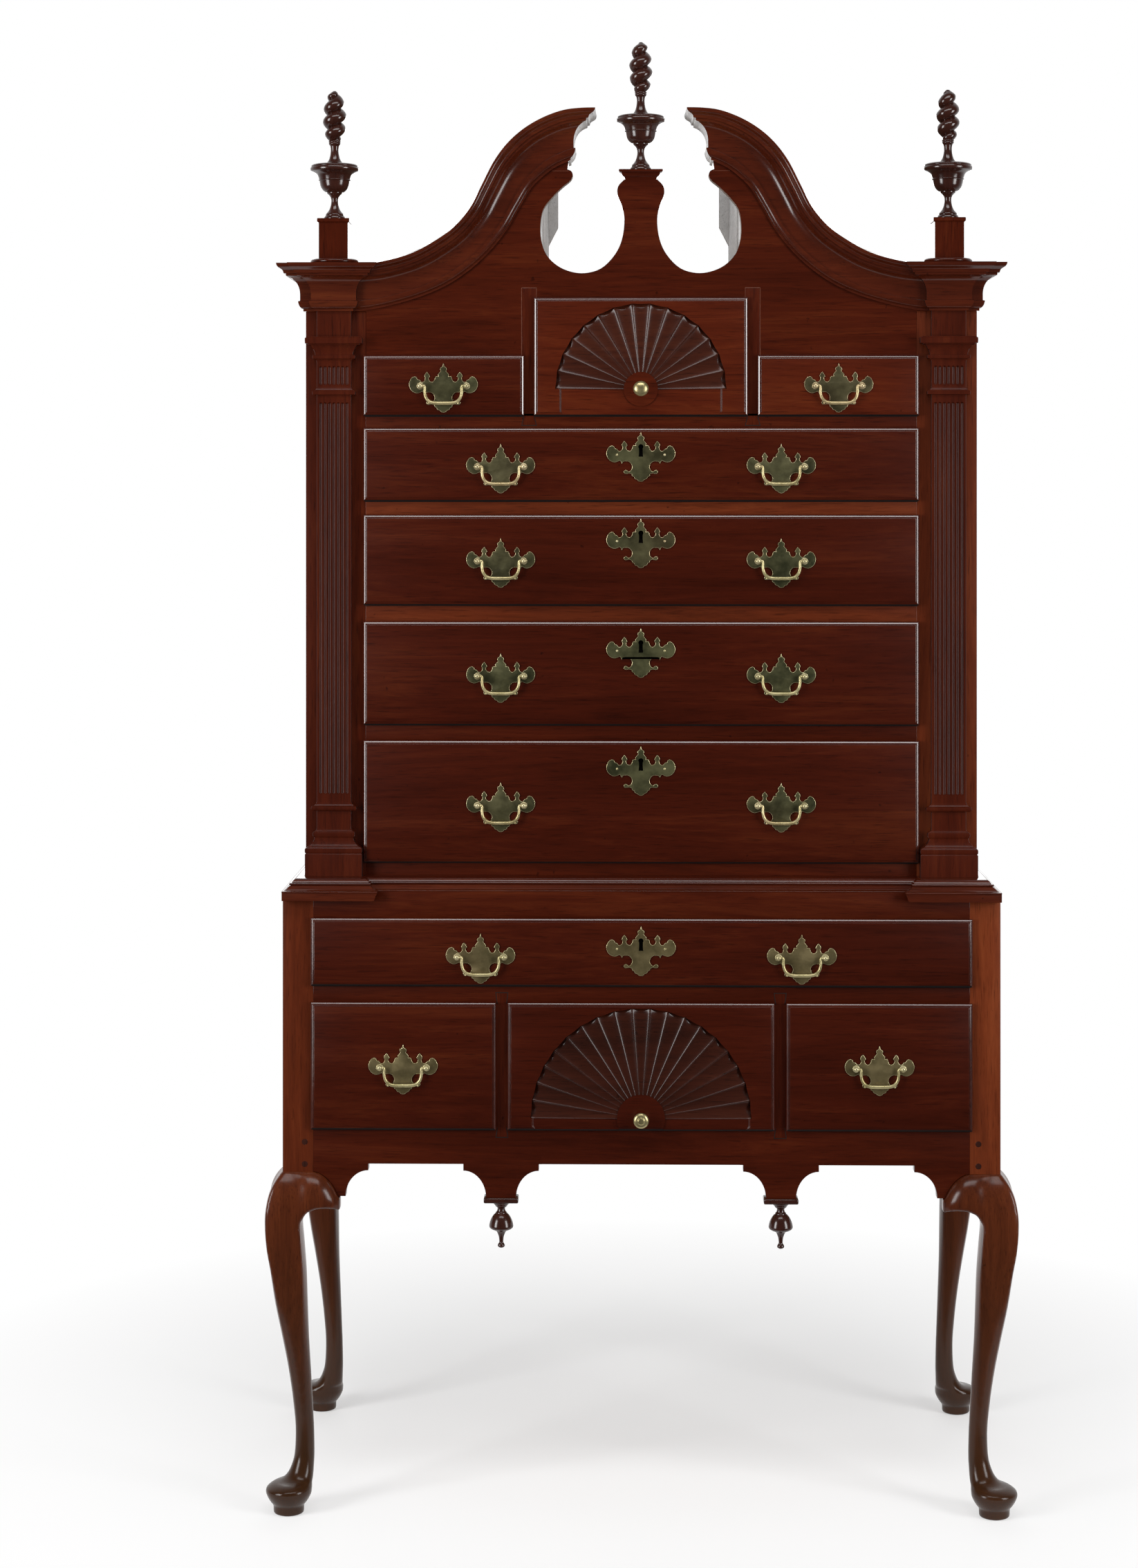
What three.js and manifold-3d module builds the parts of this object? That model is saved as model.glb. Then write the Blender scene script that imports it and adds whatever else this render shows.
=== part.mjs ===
// Bonnet-top high chest of drawers. Millimetres, +Z up, the front faces -Y.
import * as THREE from 'three';
import { mergeVertices } from 'three/addons/utils/BufferGeometryUtils.js';
import Module from 'manifold-3d';

const wasm = await Module();
wasm.setup();

// Case sizes
const lowerWidth = 1073;
const caseDepth = 525;
const legHeight = 514;
const waistStep = 31.5;
const postWidth = 46;
const boardThickness = 22;
const sideThickness = 18;
const backThickness = 12;
const tongueReach = 6;
const tongueThickness = 10;
const fitGap = 0.3;
const overrun = 5;

// Lower case from the leg up: skirt, small drawers, rail, long drawer, top rail
const skirtLift = 11.4;
const apronHeight = 52.2;
const lowerSmallHeight = 190.4;
const lowerMiddleRail = 24.5;
const lowerLongHeight = 101.4;
const lowerTopRail = 39.1;
const lowerFanHalf = 199.5;
const lowerDividerRail = 17.1;
const lowerLongPullShare = 0.485;
const lowerLongPullDrop = 6;

// Upper case from its foot up: each long drawer with the rail below it, then the top tier
const upperLong4Rail = 40.6;
const upperLong4Height = 183.6;
const upperLong4PullDrop = 5.2;
const upperLong3Rail = 23.5;
const upperLong3Height = 155.5;
const upperLong3PullDrop = 4;
const upperLong2Rail = 24.8;
const upperLong2Height = 136;
const upperLong2PullDrop = 1.6;
const upperLong1Rail = 20.7;
const upperLong1Height = 110.1;
const upperLong1PullDrop = 3.6;
const upperTierRail = 18.2;
const upperSmallHeight = 91;
const upperFanHeight = 178;
const upperFanHalf = 161;
const upperDividerRail = 14.6;
const upperStileWidth = 90.5;
const upperLongPullShare = 0.504;
const smallPullDrop = 1;
const friezeHeight = 66.3;
const dividerHeadroom = 18.2;
const dustBoardLift = 11.3;

// Cornice, swan necks and bonnet
const corniceHeight = 70.7;
const corniceReach = 40.6;
const swanRise = 231.4;
const swanEndOffset = 109;
const returnDepth = 56;
const boardSetDown = 2;
const roofThickness = 8;
const bonnetWallOffset = 150;
const backOpeningShare = 0.895;
const backShoulderShare = 0.732;
const backFlareShare = 0.6;
const centrePlinthShare = 0.8587;

// Drawer fronts: lipped, with a thumb moulding
const lipOverlap = 3.5;
const lipThickness = 10;
const thumbWidth = 8;
const frontInner = 12;
const boxSide = 11;
const boxBottom = 7;
const boxBottomRise = 5;
const drawerBackGap = 38;
const sideClearance = 1.5;
const topClearance = 4;
const runClearance = 0.3;
const boxBackDrop = 6;

// Fan carvings: centre height above the drawer's lower edge, rim, hub, and the band's half width
const upperFanCentre = 40;
const upperFanRim = 128.8;
const upperFanHub = 25.7;
const upperFanBand = 121.5;
const upperFanLobes = 15;
const lowerFanCentre = 18.6;
const lowerFanRim = 163;
const lowerFanHub = 35.9;
const lowerFanBand = 161;
const lowerFanLobes = 19;
const fanRidgeDepth = 1.2;
const fanLobeDepth = 5.5;
const fanScallop = 7;
const fanBandDepth = 4;
const fanLobeSteps = 3;
const fanHubSegments = 16;

// Pulls, bails and knobs
const pullHalfWidth = 51.7;
const pullTop = 34.5;
const pullFoot = 39.5;
const plateThickness = 2;
const postOffset = 34.8;
const postRadius = 4;
const postReach = 9;
const postSides = 6;
const pinReach = 3.4;
const bailRadius = 2.8;
const bailEndRadius = 1.4;
const bailDrop = 26;
const bailAxisReach = 5.2;
const bailSides = 5;
const bailSteps = 12;
const pinClearance = 0.4;
const knobRadius = 11.6;
const knobLength = 22;
const knobSegments = 12;

// Pilasters: shaft, base and capital
const shaftHalf = 26;
const shaftReach = 9;
const plinthOut = 17.2;
const plinthReach = 18;
const pilasterBaseHeight = 132.2;
const capitalHeight = 126.1;
const fluteCount = 7;
const flutePitch = 6.6;
const fluteDepth = 2.6;
const fluteHalf = 2.5;
const fluteMargin = 10;

// Waist moulding and the fascia blocks under the pilasters
const waistMouldingHeight = 21;
const fasciaHeight = 12.5;
const fasciaBevel = 5.5;

// Legs
const footRadius = 34.7;
const footInset = 8.4;
const padRadius = 23;
const padHeight = 14;
const footHeight = 44;
const footSegments = 14;
const legSides = 10;
const earReach = 86;
const earHeight = 62;
const earFront = 16;

// Skirt and drops
const skirtStep = 9.9;
const tongueDrop = 44.9;
const tongueCentre = 209.3;
const tongueHalf = 22.5;
const tongueSpread = 34;
const skirtEndDrop = 48.7;
const skirtEndRun = 8;
const dropLength = 69.3;
const dropRadius = 18.1;
const dropPadHalf = 25.8;
const dropPadHeight = 13.3;
const dropPadReach = 4;
const dropSegments = 12;
const curveSteps = 4;

// Finials with their plinths
const finialHeight = 193.5;
const finialRadius = 36.8;
const flameRadius = 17;
const flameLobes = 4;
const flameLobeDepth = 4;
const flameTurn = 1.2 * Math.PI;
const flameSides = 12;
const finialSegments = 12;
const dowelRadius = 6;
const dowelLength = 20;
const dowelSides = 6;
const plinthHalf = 24;
const plinthHeight = 60.5;
const plinthPadHalf = 36;
const plinthPadHeight = 8;
const plinthCapReach = 2;
const plinthCapHeight = 9;
const sidePlinthSetback = 12;
const centreCapHeight = 14.5;
const centreCapHalf = 33;
const centreCapReach = 10;

// Runners
const runnerHeight = 18;
const runnerWidth = 34;
const guideHeight = 20;
const guideGap = 1;

// Derived places
const lowerHalf = lowerWidth / 2;
const upperHalf = lowerHalf - waistStep;
const lowerOpeningHalf = lowerHalf - postWidth;
const lowerLongHalf = lowerOpeningHalf + lipOverlap;
const lowerSmallInner = lowerFanHalf + lowerDividerRail;
const upperLongHalf = upperHalf - upperStileWidth + lipOverlap;
const upperSmallInner = upperFanHalf + upperDividerRail;
const upperFace = waistStep;
const upperFaceBack = upperFace + boardThickness;
const skirtFlat = legHeight + skirtLift;
const lowerSmallBottom = skirtFlat + apronHeight;
const lowerLongBottom = lowerSmallBottom + lowerSmallHeight + lowerMiddleRail;
const lowerTop = lowerLongBottom + lowerLongHeight + lowerTopRail;
const upperLongRows = [
  { name: 'upper_long_4', rail: upperLong4Rail, height: upperLong4Height, pullDrop: upperLong4PullDrop },
  { name: 'upper_long_3', rail: upperLong3Rail, height: upperLong3Height, pullDrop: upperLong3PullDrop },
  { name: 'upper_long_2', rail: upperLong2Rail, height: upperLong2Height, pullDrop: upperLong2PullDrop },
  { name: 'upper_long_1', rail: upperLong1Rail, height: upperLong1Height, pullDrop: upperLong1PullDrop },
];
let stackTop = lowerTop;
const upperLongs = upperLongRows.map((row) => {
  const bottom = stackTop + row.rail;
  stackTop = bottom + row.height;
  return { ...row, bottom };
});
const upperSmallBottom = stackTop + upperTierRail;
const stileTop = upperSmallBottom + upperSmallHeight + friezeHeight;
const dividerTop = upperSmallBottom + upperFanHeight - lipOverlap + dividerHeadroom;
const dustBoardHeight = dividerTop + dustBoardLift;
const corniceTop = stileTop + corniceHeight;
const centrePlinthTop = stileTop + centrePlinthShare * swanRise;
const backFace = caseDepth - backThickness;
const drawerBack = backFace - drawerBackGap;
const pilasterCentre = upperHalf - shaftHalf - plinthOut;
const swanStart = pilasterCentre - shaftHalf;
const breakFace = upperFace - shaftReach;
const plinthFace = upperFace - plinthReach;
const plinthInner = pilasterCentre - shaftHalf - plinthOut;
const sideFinialSetback = breakFace + sidePlinthSetback;
const sideFinialBase = corniceTop + plinthPadHeight + plinthHeight;
const tongueBottom = skirtFlat - tongueDrop;
const upperFan = {
  centre: upperFanCentre, rim: upperFanRim, hub: upperFanHub, lobes: upperFanLobes, band: upperFanBand,
};
const lowerFan = {
  centre: lowerFanCentre, rim: lowerFanRim, hub: lowerFanHub, lobes: lowerFanLobes, band: lowerFanBand,
};

// Colours
const woodRed = new THREE.MeshStandardMaterial({ color: 0x5e1c10, roughness: 0.35, metalness: 0 });
const woodDrawer = new THREE.MeshStandardMaterial({ color: 0x4d160d, roughness: 0.3, metalness: 0 });
const woodDark = new THREE.MeshStandardMaterial({ color: 0x3f1a12, roughness: 0.4, metalness: 0 });
const woodPlain = new THREE.MeshStandardMaterial({ color: 0x6f4a2c, roughness: 0.7, metalness: 0 });
const brassPlate = new THREE.MeshStandardMaterial({ color: 0x6b6538, roughness: 0.4, metalness: 1 });
const brassBright = new THREE.MeshStandardMaterial({ color: 0xb9a768, roughness: 0.25, metalness: 1 });

// Solids
function toSolid(geometry) {
  geometry.deleteAttribute('normal');
  geometry.deleteAttribute('uv');
  const merged = mergeVertices(geometry);
  const position = merged.getAttribute('position');
  return new wasm.Manifold(new wasm.Mesh({
    numProp: 3,
    vertProperties: new Float32Array(position.array),
    triVerts: new Uint32Array(merged.getIndex().array),
  }));
}

function toGeometry(solid) {
  const mesh = solid.getMesh();
  const geometry = new THREE.BufferGeometry();
  geometry.setAttribute('position', new THREE.BufferAttribute(new Float32Array(mesh.vertProperties), 3));
  geometry.setIndex(new THREE.BufferAttribute(new Uint32Array(mesh.triVerts), 1));
  return geometry;
}

function join(solids) {
  return solids.reduce((whole, piece) => whole.add(piece));
}

function transformed(solid, matrix) {
  const geometry = toGeometry(solid).applyMatrix4(matrix);
  const triVerts = geometry.getIndex().array;
  if (matrix.determinant() < 0) {
    for (let corner = 0; corner < triVerts.length; corner += 3) {
      [triVerts[corner], triVerts[corner + 1]] = [triVerts[corner + 1], triVerts[corner]];
    }
  }
  const vertProperties = geometry.getAttribute('position').array;
  return new wasm.Manifold(new wasm.Mesh({ numProp: 3, vertProperties, triVerts }));
}

function moved(solid, x, y, z) {
  return transformed(solid, new THREE.Matrix4().makeTranslation(x, y, z));
}

function mirrored(solid) {
  return transformed(solid, new THREE.Matrix4().makeScale(-1, 1, 1));
}

// Turns a solid that stands along +Z to point forward along -Y
function forward(solid) {
  return transformed(solid, new THREE.Matrix4().makeRotationX(Math.PI / 2));
}

function box(x0, x1, y0, y1, z0, z1) {
  const geometry = new THREE.BoxGeometry(x1 - x0, y1 - y0, z1 - z0);
  geometry.translate((x0 + x1) / 2, (y0 + y1) / 2, (z0 + z1) / 2);
  return toSolid(geometry);
}

function extruded(points, depth, holes = []) {
  const shape = new THREE.Shape(points.map(([u, v]) => new THREE.Vector2(u, v)));
  for (const hole of holes) {
    shape.holes.push(new THREE.Path(hole.map(([u, v]) => new THREE.Vector2(u, v))));
  }
  return new THREE.ExtrudeGeometry(shape, { depth, bevelEnabled: false });
}

// An outline in X and Z, running back from yFront to yBack
function frontPrism(points, yFront, yBack, holes = []) {
  const geometry = extruded(points, yBack - yFront, holes);
  geometry.rotateX(Math.PI / 2);
  geometry.translate(0, yBack, 0);
  return toSolid(geometry);
}

// An outline in Y and Z, running from x0 to x1
function sidePrism(points, x0, x1) {
  const geometry = extruded(points, x1 - x0);
  const turn = new THREE.Matrix4().makeBasis(
    new THREE.Vector3(0, 1, 0),
    new THREE.Vector3(0, 0, 1),
    new THREE.Vector3(1, 0, 0),
  );
  geometry.applyMatrix4(turn);
  geometry.translate(x0, 0, 0);
  return toSolid(geometry);
}

// An outline in X and Y, standing from z0 to z1
function planPrism(points, z0, z1) {
  const geometry = extruded(points, z1 - z0);
  geometry.translate(0, 0, z0);
  return toSolid(geometry);
}

// A profile of radius and height round +Z, at x, y, z
function turned(profile, segments, x = 0, y = 0, z = 0) {
  const geometry = new THREE.LatheGeometry(profile.map(([r, h]) => new THREE.Vector2(r, h)), segments);
  geometry.rotateX(Math.PI / 2);
  geometry.translate(x, y, z);
  return toSolid(geometry);
}

function peg(radius, z0, z1, segments, x = 0, y = 0) {
  return turned([[0, z0], [radius, z0], [radius, z1], [0, z1]], segments, x, y);
}

function capTriangles(ring) {
  const normal = new THREE.Vector3();
  ring.forEach((point, index) => {
    const next = ring[(index + 1) % ring.length];
    normal.x += (point[1] - next[1]) * (point[2] + next[2]);
    normal.y += (point[2] - next[2]) * (point[0] + next[0]);
    normal.z += (point[0] - next[0]) * (point[1] + next[1]);
  });
  normal.normalize();
  const away = Math.abs(normal.z) < 0.9 ? new THREE.Vector3(0, 0, 1) : new THREE.Vector3(1, 0, 0);
  const across = new THREE.Vector3().crossVectors(away, normal).normalize();
  const up = new THREE.Vector3().crossVectors(normal, across);
  const flat = ring.map((point) => {
    const place = new THREE.Vector3(...point);
    return new THREE.Vector2(place.dot(across), place.dot(up));
  });
  return THREE.ShapeUtils.triangulateShape(flat, []);
}

function signedVolume(positions, index) {
  let volume = 0;
  for (let corner = 0; corner < index.length; corner += 3) {
    const [a, b, c] = [0, 1, 2].map((step) => {
      const start = index[corner + step] * 3;
      return new THREE.Vector3(positions[start], positions[start + 1], positions[start + 2]);
    });
    volume += a.dot(b.cross(c)) / 6;
  }
  return volume;
}

// A closed skin through rings of equal count
function loft(rings) {
  const count = rings[0].length;
  const positions = rings.flat(2);
  const index = [];
  for (let row = 0; row < rings.length - 1; row += 1) {
    for (let column = 0; column < count; column += 1) {
      const next = (column + 1) % count;
      const a = row * count + column;
      const b = row * count + next;
      index.push(a, b, b + count, a, b + count, a + count);
    }
  }
  const last = (rings.length - 1) * count;
  for (const [a, b, c] of capTriangles(rings[0])) {
    index.push(c, b, a);
  }
  for (const [a, b, c] of capTriangles(rings[rings.length - 1])) {
    index.push(last + a, last + b, last + c);
  }
  if (signedVolume(positions, index) < 0) {
    for (let corner = 0; corner < index.length; corner += 3) {
      [index[corner], index[corner + 1]] = [index[corner + 1], index[corner]];
    }
  }
  const geometry = new THREE.BufferGeometry();
  geometry.setAttribute('position', new THREE.Float32BufferAttribute(positions, 3));
  geometry.setIndex(index);
  return toSolid(geometry);
}

function square(x, y, half, z) {
  return [[x - half, y - half, z], [x + half, y - half, z], [x + half, y + half, z], [x - half, y + half, z]];
}

// A point of a plan path, moved outward by reach at its mitre
function mitredPoint(path, index, reach) {
  const normals = [];
  for (const from of [index - 1, index]) {
    if (from >= 0 && from + 1 < path.length) {
      const dx = path[from + 1][0] - path[from][0];
      const dy = path[from + 1][1] - path[from][1];
      const length = Math.hypot(dx, dy);
      normals.push([dy / length, -dx / length]);
    }
  }
  const [first, second = first] = normals;
  const share = 1 / (1 + first[0] * second[0] + first[1] * second[1]);
  return [
    path[index][0] + (first[0] + second[0]) * share * reach,
    path[index][1] + (first[1] + second[1]) * share * reach,
  ];
}

function mirroredOutline(points) {
  return points.map(([x, z]) => [-x, z]).reverse();
}

// Cornice profile, from the frieze up: reach and height as shares of corniceReach and corniceHeight
const corniceShares = [
  [0, 0], [0.08, 0.013], [0.116, 0.075], [0.264, 0.2], [0.195, 0.25], [0.217, 0.45],
  [0.276, 0.557], [0.384, 0.646], [0.544, 0.711], [0.672, 0.74], [0.672, 0.782], [0.756, 0.805],
  [0.82, 0.87], [0.96, 0.935], [1, 1], [0, 1],
];

// Swan-neck edges: outer X and rise, inner X and rise, as shares of upperHalf and swanRise
const swanShares = [
  [-0.95, 0, -0.95, 0], [-0.85, 0, -0.85, 0.001], [-0.783, 0.002, -0.762, 0.031],
  [-0.682, 0.058, -0.634, 0.115], [-0.618, 0.13, -0.551, 0.206], [-0.552, 0.232, -0.467, 0.353],
  [-0.504, 0.357, -0.401, 0.526], [-0.473, 0.491, -0.363, 0.669], [-0.432, 0.664, -0.323, 0.81],
  [-0.391, 0.78, -0.294, 0.872], [-0.343, 0.87, -0.261, 0.928], [-0.287, 0.939, -0.225, 0.967],
  [-0.23, 0.983, -0.194, 0.993], [-0.181, 0.997, -0.166, 1.01], [-0.12, 1, -0.12, 1.027],
];
const swanStations = 12;
const rootSteps = 30;

function swanEdge(xColumn, riseColumn, base) {
  return new THREE.CatmullRomCurve3(swanShares.map((row) => (
    new THREE.Vector3(row[xColumn] * upperHalf, 0, base + row[riseColumn] * swanRise)
  )));
}

const swanOuter = swanEdge(0, 1, corniceTop);
const swanInner = swanEdge(2, 3, stileTop);

function swanPoint(parameter, heightShare) {
  return swanInner.getPoint(parameter).lerp(swanOuter.getPoint(parameter), heightShare);
}

// The parameter at which a line of the swan neck reaches x
function swanParameter(x, heightShare) {
  let low = 0;
  let high = 1;
  for (let step = 0; step < rootSteps; step += 1) {
    const middle = (low + high) / 2;
    if (swanPoint(middle, heightShare).x < x) {
      low = middle;
    } else {
      high = middle;
    }
  }
  return (low + high) / 2;
}

// Points along the swan neck's outer edge, from where the moulding leaves the break to xEnd
function swanTopLine(xEnd, steps) {
  const from = swanParameter(-swanStart + corniceReach, 1);
  const to = swanParameter(xEnd, 1);
  const line = [[-upperHalf, corniceTop - boardSetDown]];
  for (let step = 0; step <= steps; step += 1) {
    const point = swanPoint(from + (to - from) * (step / steps), 1);
    line.push([point.x, point.z - boardSetDown]);
  }
  return line;
}

function sideCorniceStations() {
  const path = [
    [-upperHalf, caseDepth],
    [-upperHalf, upperFace],
    [-pilasterCentre - shaftHalf, upperFace],
    [-pilasterCentre - shaftHalf, breakFace],
    [-swanStart, breakFace],
    [-swanStart, upperFace],
    [0, upperFace],
  ];
  return path.slice(0, -1).map((_, index) => corniceShares.map(([reachShare, heightShare]) => {
    const [x, y] = mitredPoint(path, index, reachShare * corniceReach);
    return [x, y, stileTop + heightShare * corniceHeight];
  }));
}

// The neck runs between two mitres and ends with a straight return to the back
function swanNeckStations() {
  const stations = [];
  for (let station = 1; station <= swanStations; station += 1) {
    stations.push(corniceShares.map(([reachShare, heightShare]) => {
      const reach = reachShare * corniceReach;
      const from = swanParameter(-swanStart + reach, heightShare);
      const to = swanParameter(-swanEndOffset + reach, heightShare);
      const point = swanPoint(from + (to - from) * (station / swanStations), heightShare);
      return [point.x, upperFace - reach, point.z];
    }));
  }
  const end = stations[stations.length - 1];
  stations.push(end.map(([x, , z]) => [x, upperFace + returnDepth, z]));
  return stations;
}

function dowelHole(x, y, top) {
  const foot = top - dowelLength - fitGap;
  return peg(dowelRadius + fitGap, foot, top + overrun, dowelSides, x, y);
}

function sideFinialPlinth() {
  const padTop = corniceTop + plinthPadHeight;
  const levels = [
    [plinthPadHalf, corniceTop],
    [plinthPadHalf, padTop],
    [plinthHalf, padTop],
    [plinthHalf, sideFinialBase - plinthCapHeight],
    [plinthHalf + plinthCapReach, sideFinialBase - plinthCapHeight / 2],
    [plinthHalf + plinthCapReach, sideFinialBase],
  ];
  const plinth = loft(levels.map(([half, z]) => square(-pilasterCentre, sideFinialSetback, half, z)));
  return plinth.subtract(dowelHole(-pilasterCentre, sideFinialSetback, sideFinialBase));
}

function swanCornice() {
  const moulding = loft([...sideCorniceStations(), ...swanNeckStations()]);
  const core = box(
    -pilasterCentre - shaftHalf, -swanStart, breakFace, upperFace,
    stileTop, corniceTop + plinthPadHeight / 2,
  );
  return join([moulding, core, sideFinialPlinth()]);
}

// Opening of the scroll board, left side, from the cornice's end round to the centre plinth:
// X as a share of bonnetWallOffset and height as a share of swanRise above the stiles
const openingShares = [
  [-0.727, 0.965], [-0.735, 0.925], [-0.7, 0.905], [-0.69, 0.885], [-0.72, 0.862], [-0.78, 0.814],
  [-0.891, 0.742], [-0.975, 0.67], [-1.006, 0.582], [-1.003, 0.475], [-0.947, 0.369], [-0.836, 0.297],
  [-0.699, 0.258], [-0.561, 0.249], [-0.4, 0.279], [-0.26, 0.369], [-0.19, 0.466], [-0.165, 0.6],
  [-0.19, 0.688], [-0.235, 0.765], [-0.225, 0.815], [-0.165, 0.858],
];
const boardSteps = 12;

// Centre plinth cap: reach and height as shares of centreCapReach and centreCapHeight
const centreCapShares = [[0, -0.1], [0.1, 0.1], [0.4, 0.3], [0.6, 0.7], [1, 0.8], [1, 1]];

function scrollBoard() {
  const fanTop = upperSmallBottom + upperFanHeight - lipOverlap;
  const smallTop = upperSmallBottom + upperSmallHeight - lipOverlap;
  const dividerInner = upperFanHalf - lipOverlap - fitGap;
  const dividerOuter = upperSmallInner + lipOverlap + fitGap;
  const stileInner = upperLongHalf - lipOverlap - fitGap;
  const opening = openingShares.map(([xShare, riseShare]) => [
    xShare * bonnetWallOffset, stileTop + riseShare * swanRise,
  ]);
  const left = [
    [-dividerInner, fanTop],
    [-dividerInner, dividerTop + fitGap],
    [-dividerOuter, dividerTop + fitGap],
    [-dividerOuter, smallTop],
    [-stileInner, smallTop],
    [-stileInner, stileTop + fitGap],
    [-upperHalf, stileTop + fitGap],
    ...swanTopLine(-swanEndOffset - fitGap, boardSteps),
    ...opening,
  ];
  const board = frontPrism([...left, ...mirroredOutline(left)], upperFace, upperFaceBack);
  const middle = (upperFace + upperFaceBack) / 2;
  const cap = loft(centreCapShares.map(([reachShare, heightShare]) => {
    const reach = reachShare * centreCapReach;
    const half = centreCapHalf - centreCapReach + reach;
    const [y0, y1] = [upperFace - reach, upperFaceBack + reach];
    const z = centrePlinthTop + heightShare * centreCapHeight;
    return [[-half, y0, z], [half, y0, z], [half, y1, z], [-half, y1, z]];
  }));
  return board.add(cap).subtract(dowelHole(0, middle, centrePlinthTop + centreCapHeight));
}

// The opening that a lipped drawer front covers
function openingOutline(left, right, bottom, height) {
  const [x0, x1] = [left + lipOverlap, right - lipOverlap];
  const [z0, z1] = [bottom + lipOverlap, bottom + height - lipOverlap];
  return [[x0, z0], [x1, z0], [x1, z1], [x0, z1]];
}

function upperFrontFrame() {
  const inner = upperLongHalf - lipOverlap;
  const tierBottom = upperSmallBottom + lipOverlap;
  const dividerOuter = upperSmallInner + lipOverlap;
  const dividerInner = upperFanHalf - lipOverlap;
  const right = [
    [upperHalf, lowerTop],
    [upperHalf, stileTop],
    [inner, stileTop],
    [inner, tierBottom],
    [dividerOuter, tierBottom],
    [dividerOuter, dividerTop],
    [dividerInner, dividerTop],
    [dividerInner, tierBottom],
  ];
  const holes = upperLongs.map(({ bottom, height }) => (
    openingOutline(-upperLongHalf, upperLongHalf, bottom, height)
  ));
  return frontPrism([...right, ...mirroredOutline(right)], upperFace, upperFaceBack, holes);
}

// Knee return levels: reach from the leg's outer face, top and foot, front and back,
// as shares of earReach, earHeight, earFront and postWidth
const earShares = [
  [0.3, 1, -0.2, 1.15, 0.55], [0.535, 0.992, 0.04, 0.9, 0.55], [0.703, 0.903, 0.085, 0.5, 0.54],
  [0.849, 0.694, 0.035, 0.22, 0.52], [0.953, 0.42, 0.01, 0.08, 0.49], [1, 0.35, 0, 0.04, 0.48],
];

// The ears' upper line under a skirt, from the post out, as reach and height
function earTopLine() {
  const foot = legHeight - earHeight;
  const line = earShares.slice(1).map(([reach, top]) => [
    reach * earReach, foot + top * earHeight + fitGap,
  ]);
  const [tipReach] = line[line.length - 1];
  return [[postWidth, line[0][1]], ...line.slice(1), [tipReach + fitGap, belowSkirt(skirtEndDrop)]];
}

function belowSkirt(dropBelowFlat) {
  return skirtFlat - dropBelowFlat;
}

// A hollow curve from a tongue's edge up to the skirt's flat, with its small step
function tongueSide(x, z, direction) {
  const points = [];
  const top = skirtFlat - skirtStep;
  for (let step = 0; step <= curveSteps; step += 1) {
    const angle = (step / curveSteps) * (Math.PI / 2);
    points.push([x + direction * tongueSpread * (1 - Math.cos(angle)), z + (top - z) * Math.sin(angle)]);
  }
  points.push([x + direction * tongueSpread, skirtFlat]);
  return points;
}

// Skirt edge from the centre out to the post
function skirtEdge() {
  const endReach = earReach + fitGap + skirtEndRun;
  const ears = earTopLine().map(([reach, z]) => [lowerHalf - reach, z]).reverse();
  return [
    ...tongueSide(tongueCentre - tongueHalf, tongueBottom, -1).reverse(),
    ...tongueSide(tongueCentre + tongueHalf, tongueBottom, 1),
    ...tongueSide(lowerHalf - endReach, belowSkirt(skirtEndDrop), -1).reverse(),
    ...ears,
  ];
}

// The frame's tongues, let into the posts, and the groove that a post has for one
function frameTongue() {
  const front = (boardThickness - tongueThickness) / 2;
  return box(
    lowerOpeningHalf - fitGap, lowerOpeningHalf + tongueReach,
    front, front + tongueThickness, skirtFlat, lowerTop,
  );
}

function postGroove() {
  const front = (boardThickness - tongueThickness) / 2;
  return box(
    postWidth - tongueReach - fitGap, postWidth + overrun,
    front - fitGap, front + tongueThickness + fitGap, skirtFlat - fitGap, lowerTop + overrun,
  );
}

function lowerFrontFrame() {
  const right = [...skirtEdge(), [lowerOpeningHalf, lowerTop]];
  const holes = [openingOutline(-lowerFanHalf, lowerFanHalf, lowerSmallBottom, lowerSmallHeight)];
  const frame = frontPrism([...right, ...mirroredOutline(right)], 0, boardThickness, holes);
  const longCut = box(
    -lowerHalf, lowerHalf, -overrun, boardThickness + overrun,
    lowerLongBottom + lipOverlap, lowerLongBottom + lowerLongHeight - lipOverlap,
  );
  const smallCut = box(
    lowerSmallInner + lipOverlap, lowerHalf, -overrun, boardThickness + overrun,
    lowerSmallBottom + lipOverlap, lowerSmallBottom + lowerSmallHeight - lipOverlap,
  );
  const opened = [longCut, smallCut, mirrored(smallCut)].reduce((whole, cut) => whole.subtract(cut), frame);
  const tongue = frameTongue();
  return join([opened, tongue, mirrored(tongue)]);
}

const caseBack = backFace + backThickness / 2;

// A runner with a guide strip on it
function runner(x0, x1, guide0, guide1, front, back, top) {
  return join([
    box(x0, x1, front, back, top - runnerHeight, top),
    box(guide0, guide1, front, back, top - runnerHeight / 2, top + guideHeight),
  ]);
}

function dividerRunner(inner, outer, front, top) {
  const reach = runnerWidth / 2;
  return runner(inner - reach, outer + reach, inner + guideGap, outer - guideGap, front, caseBack, top);
}

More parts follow.
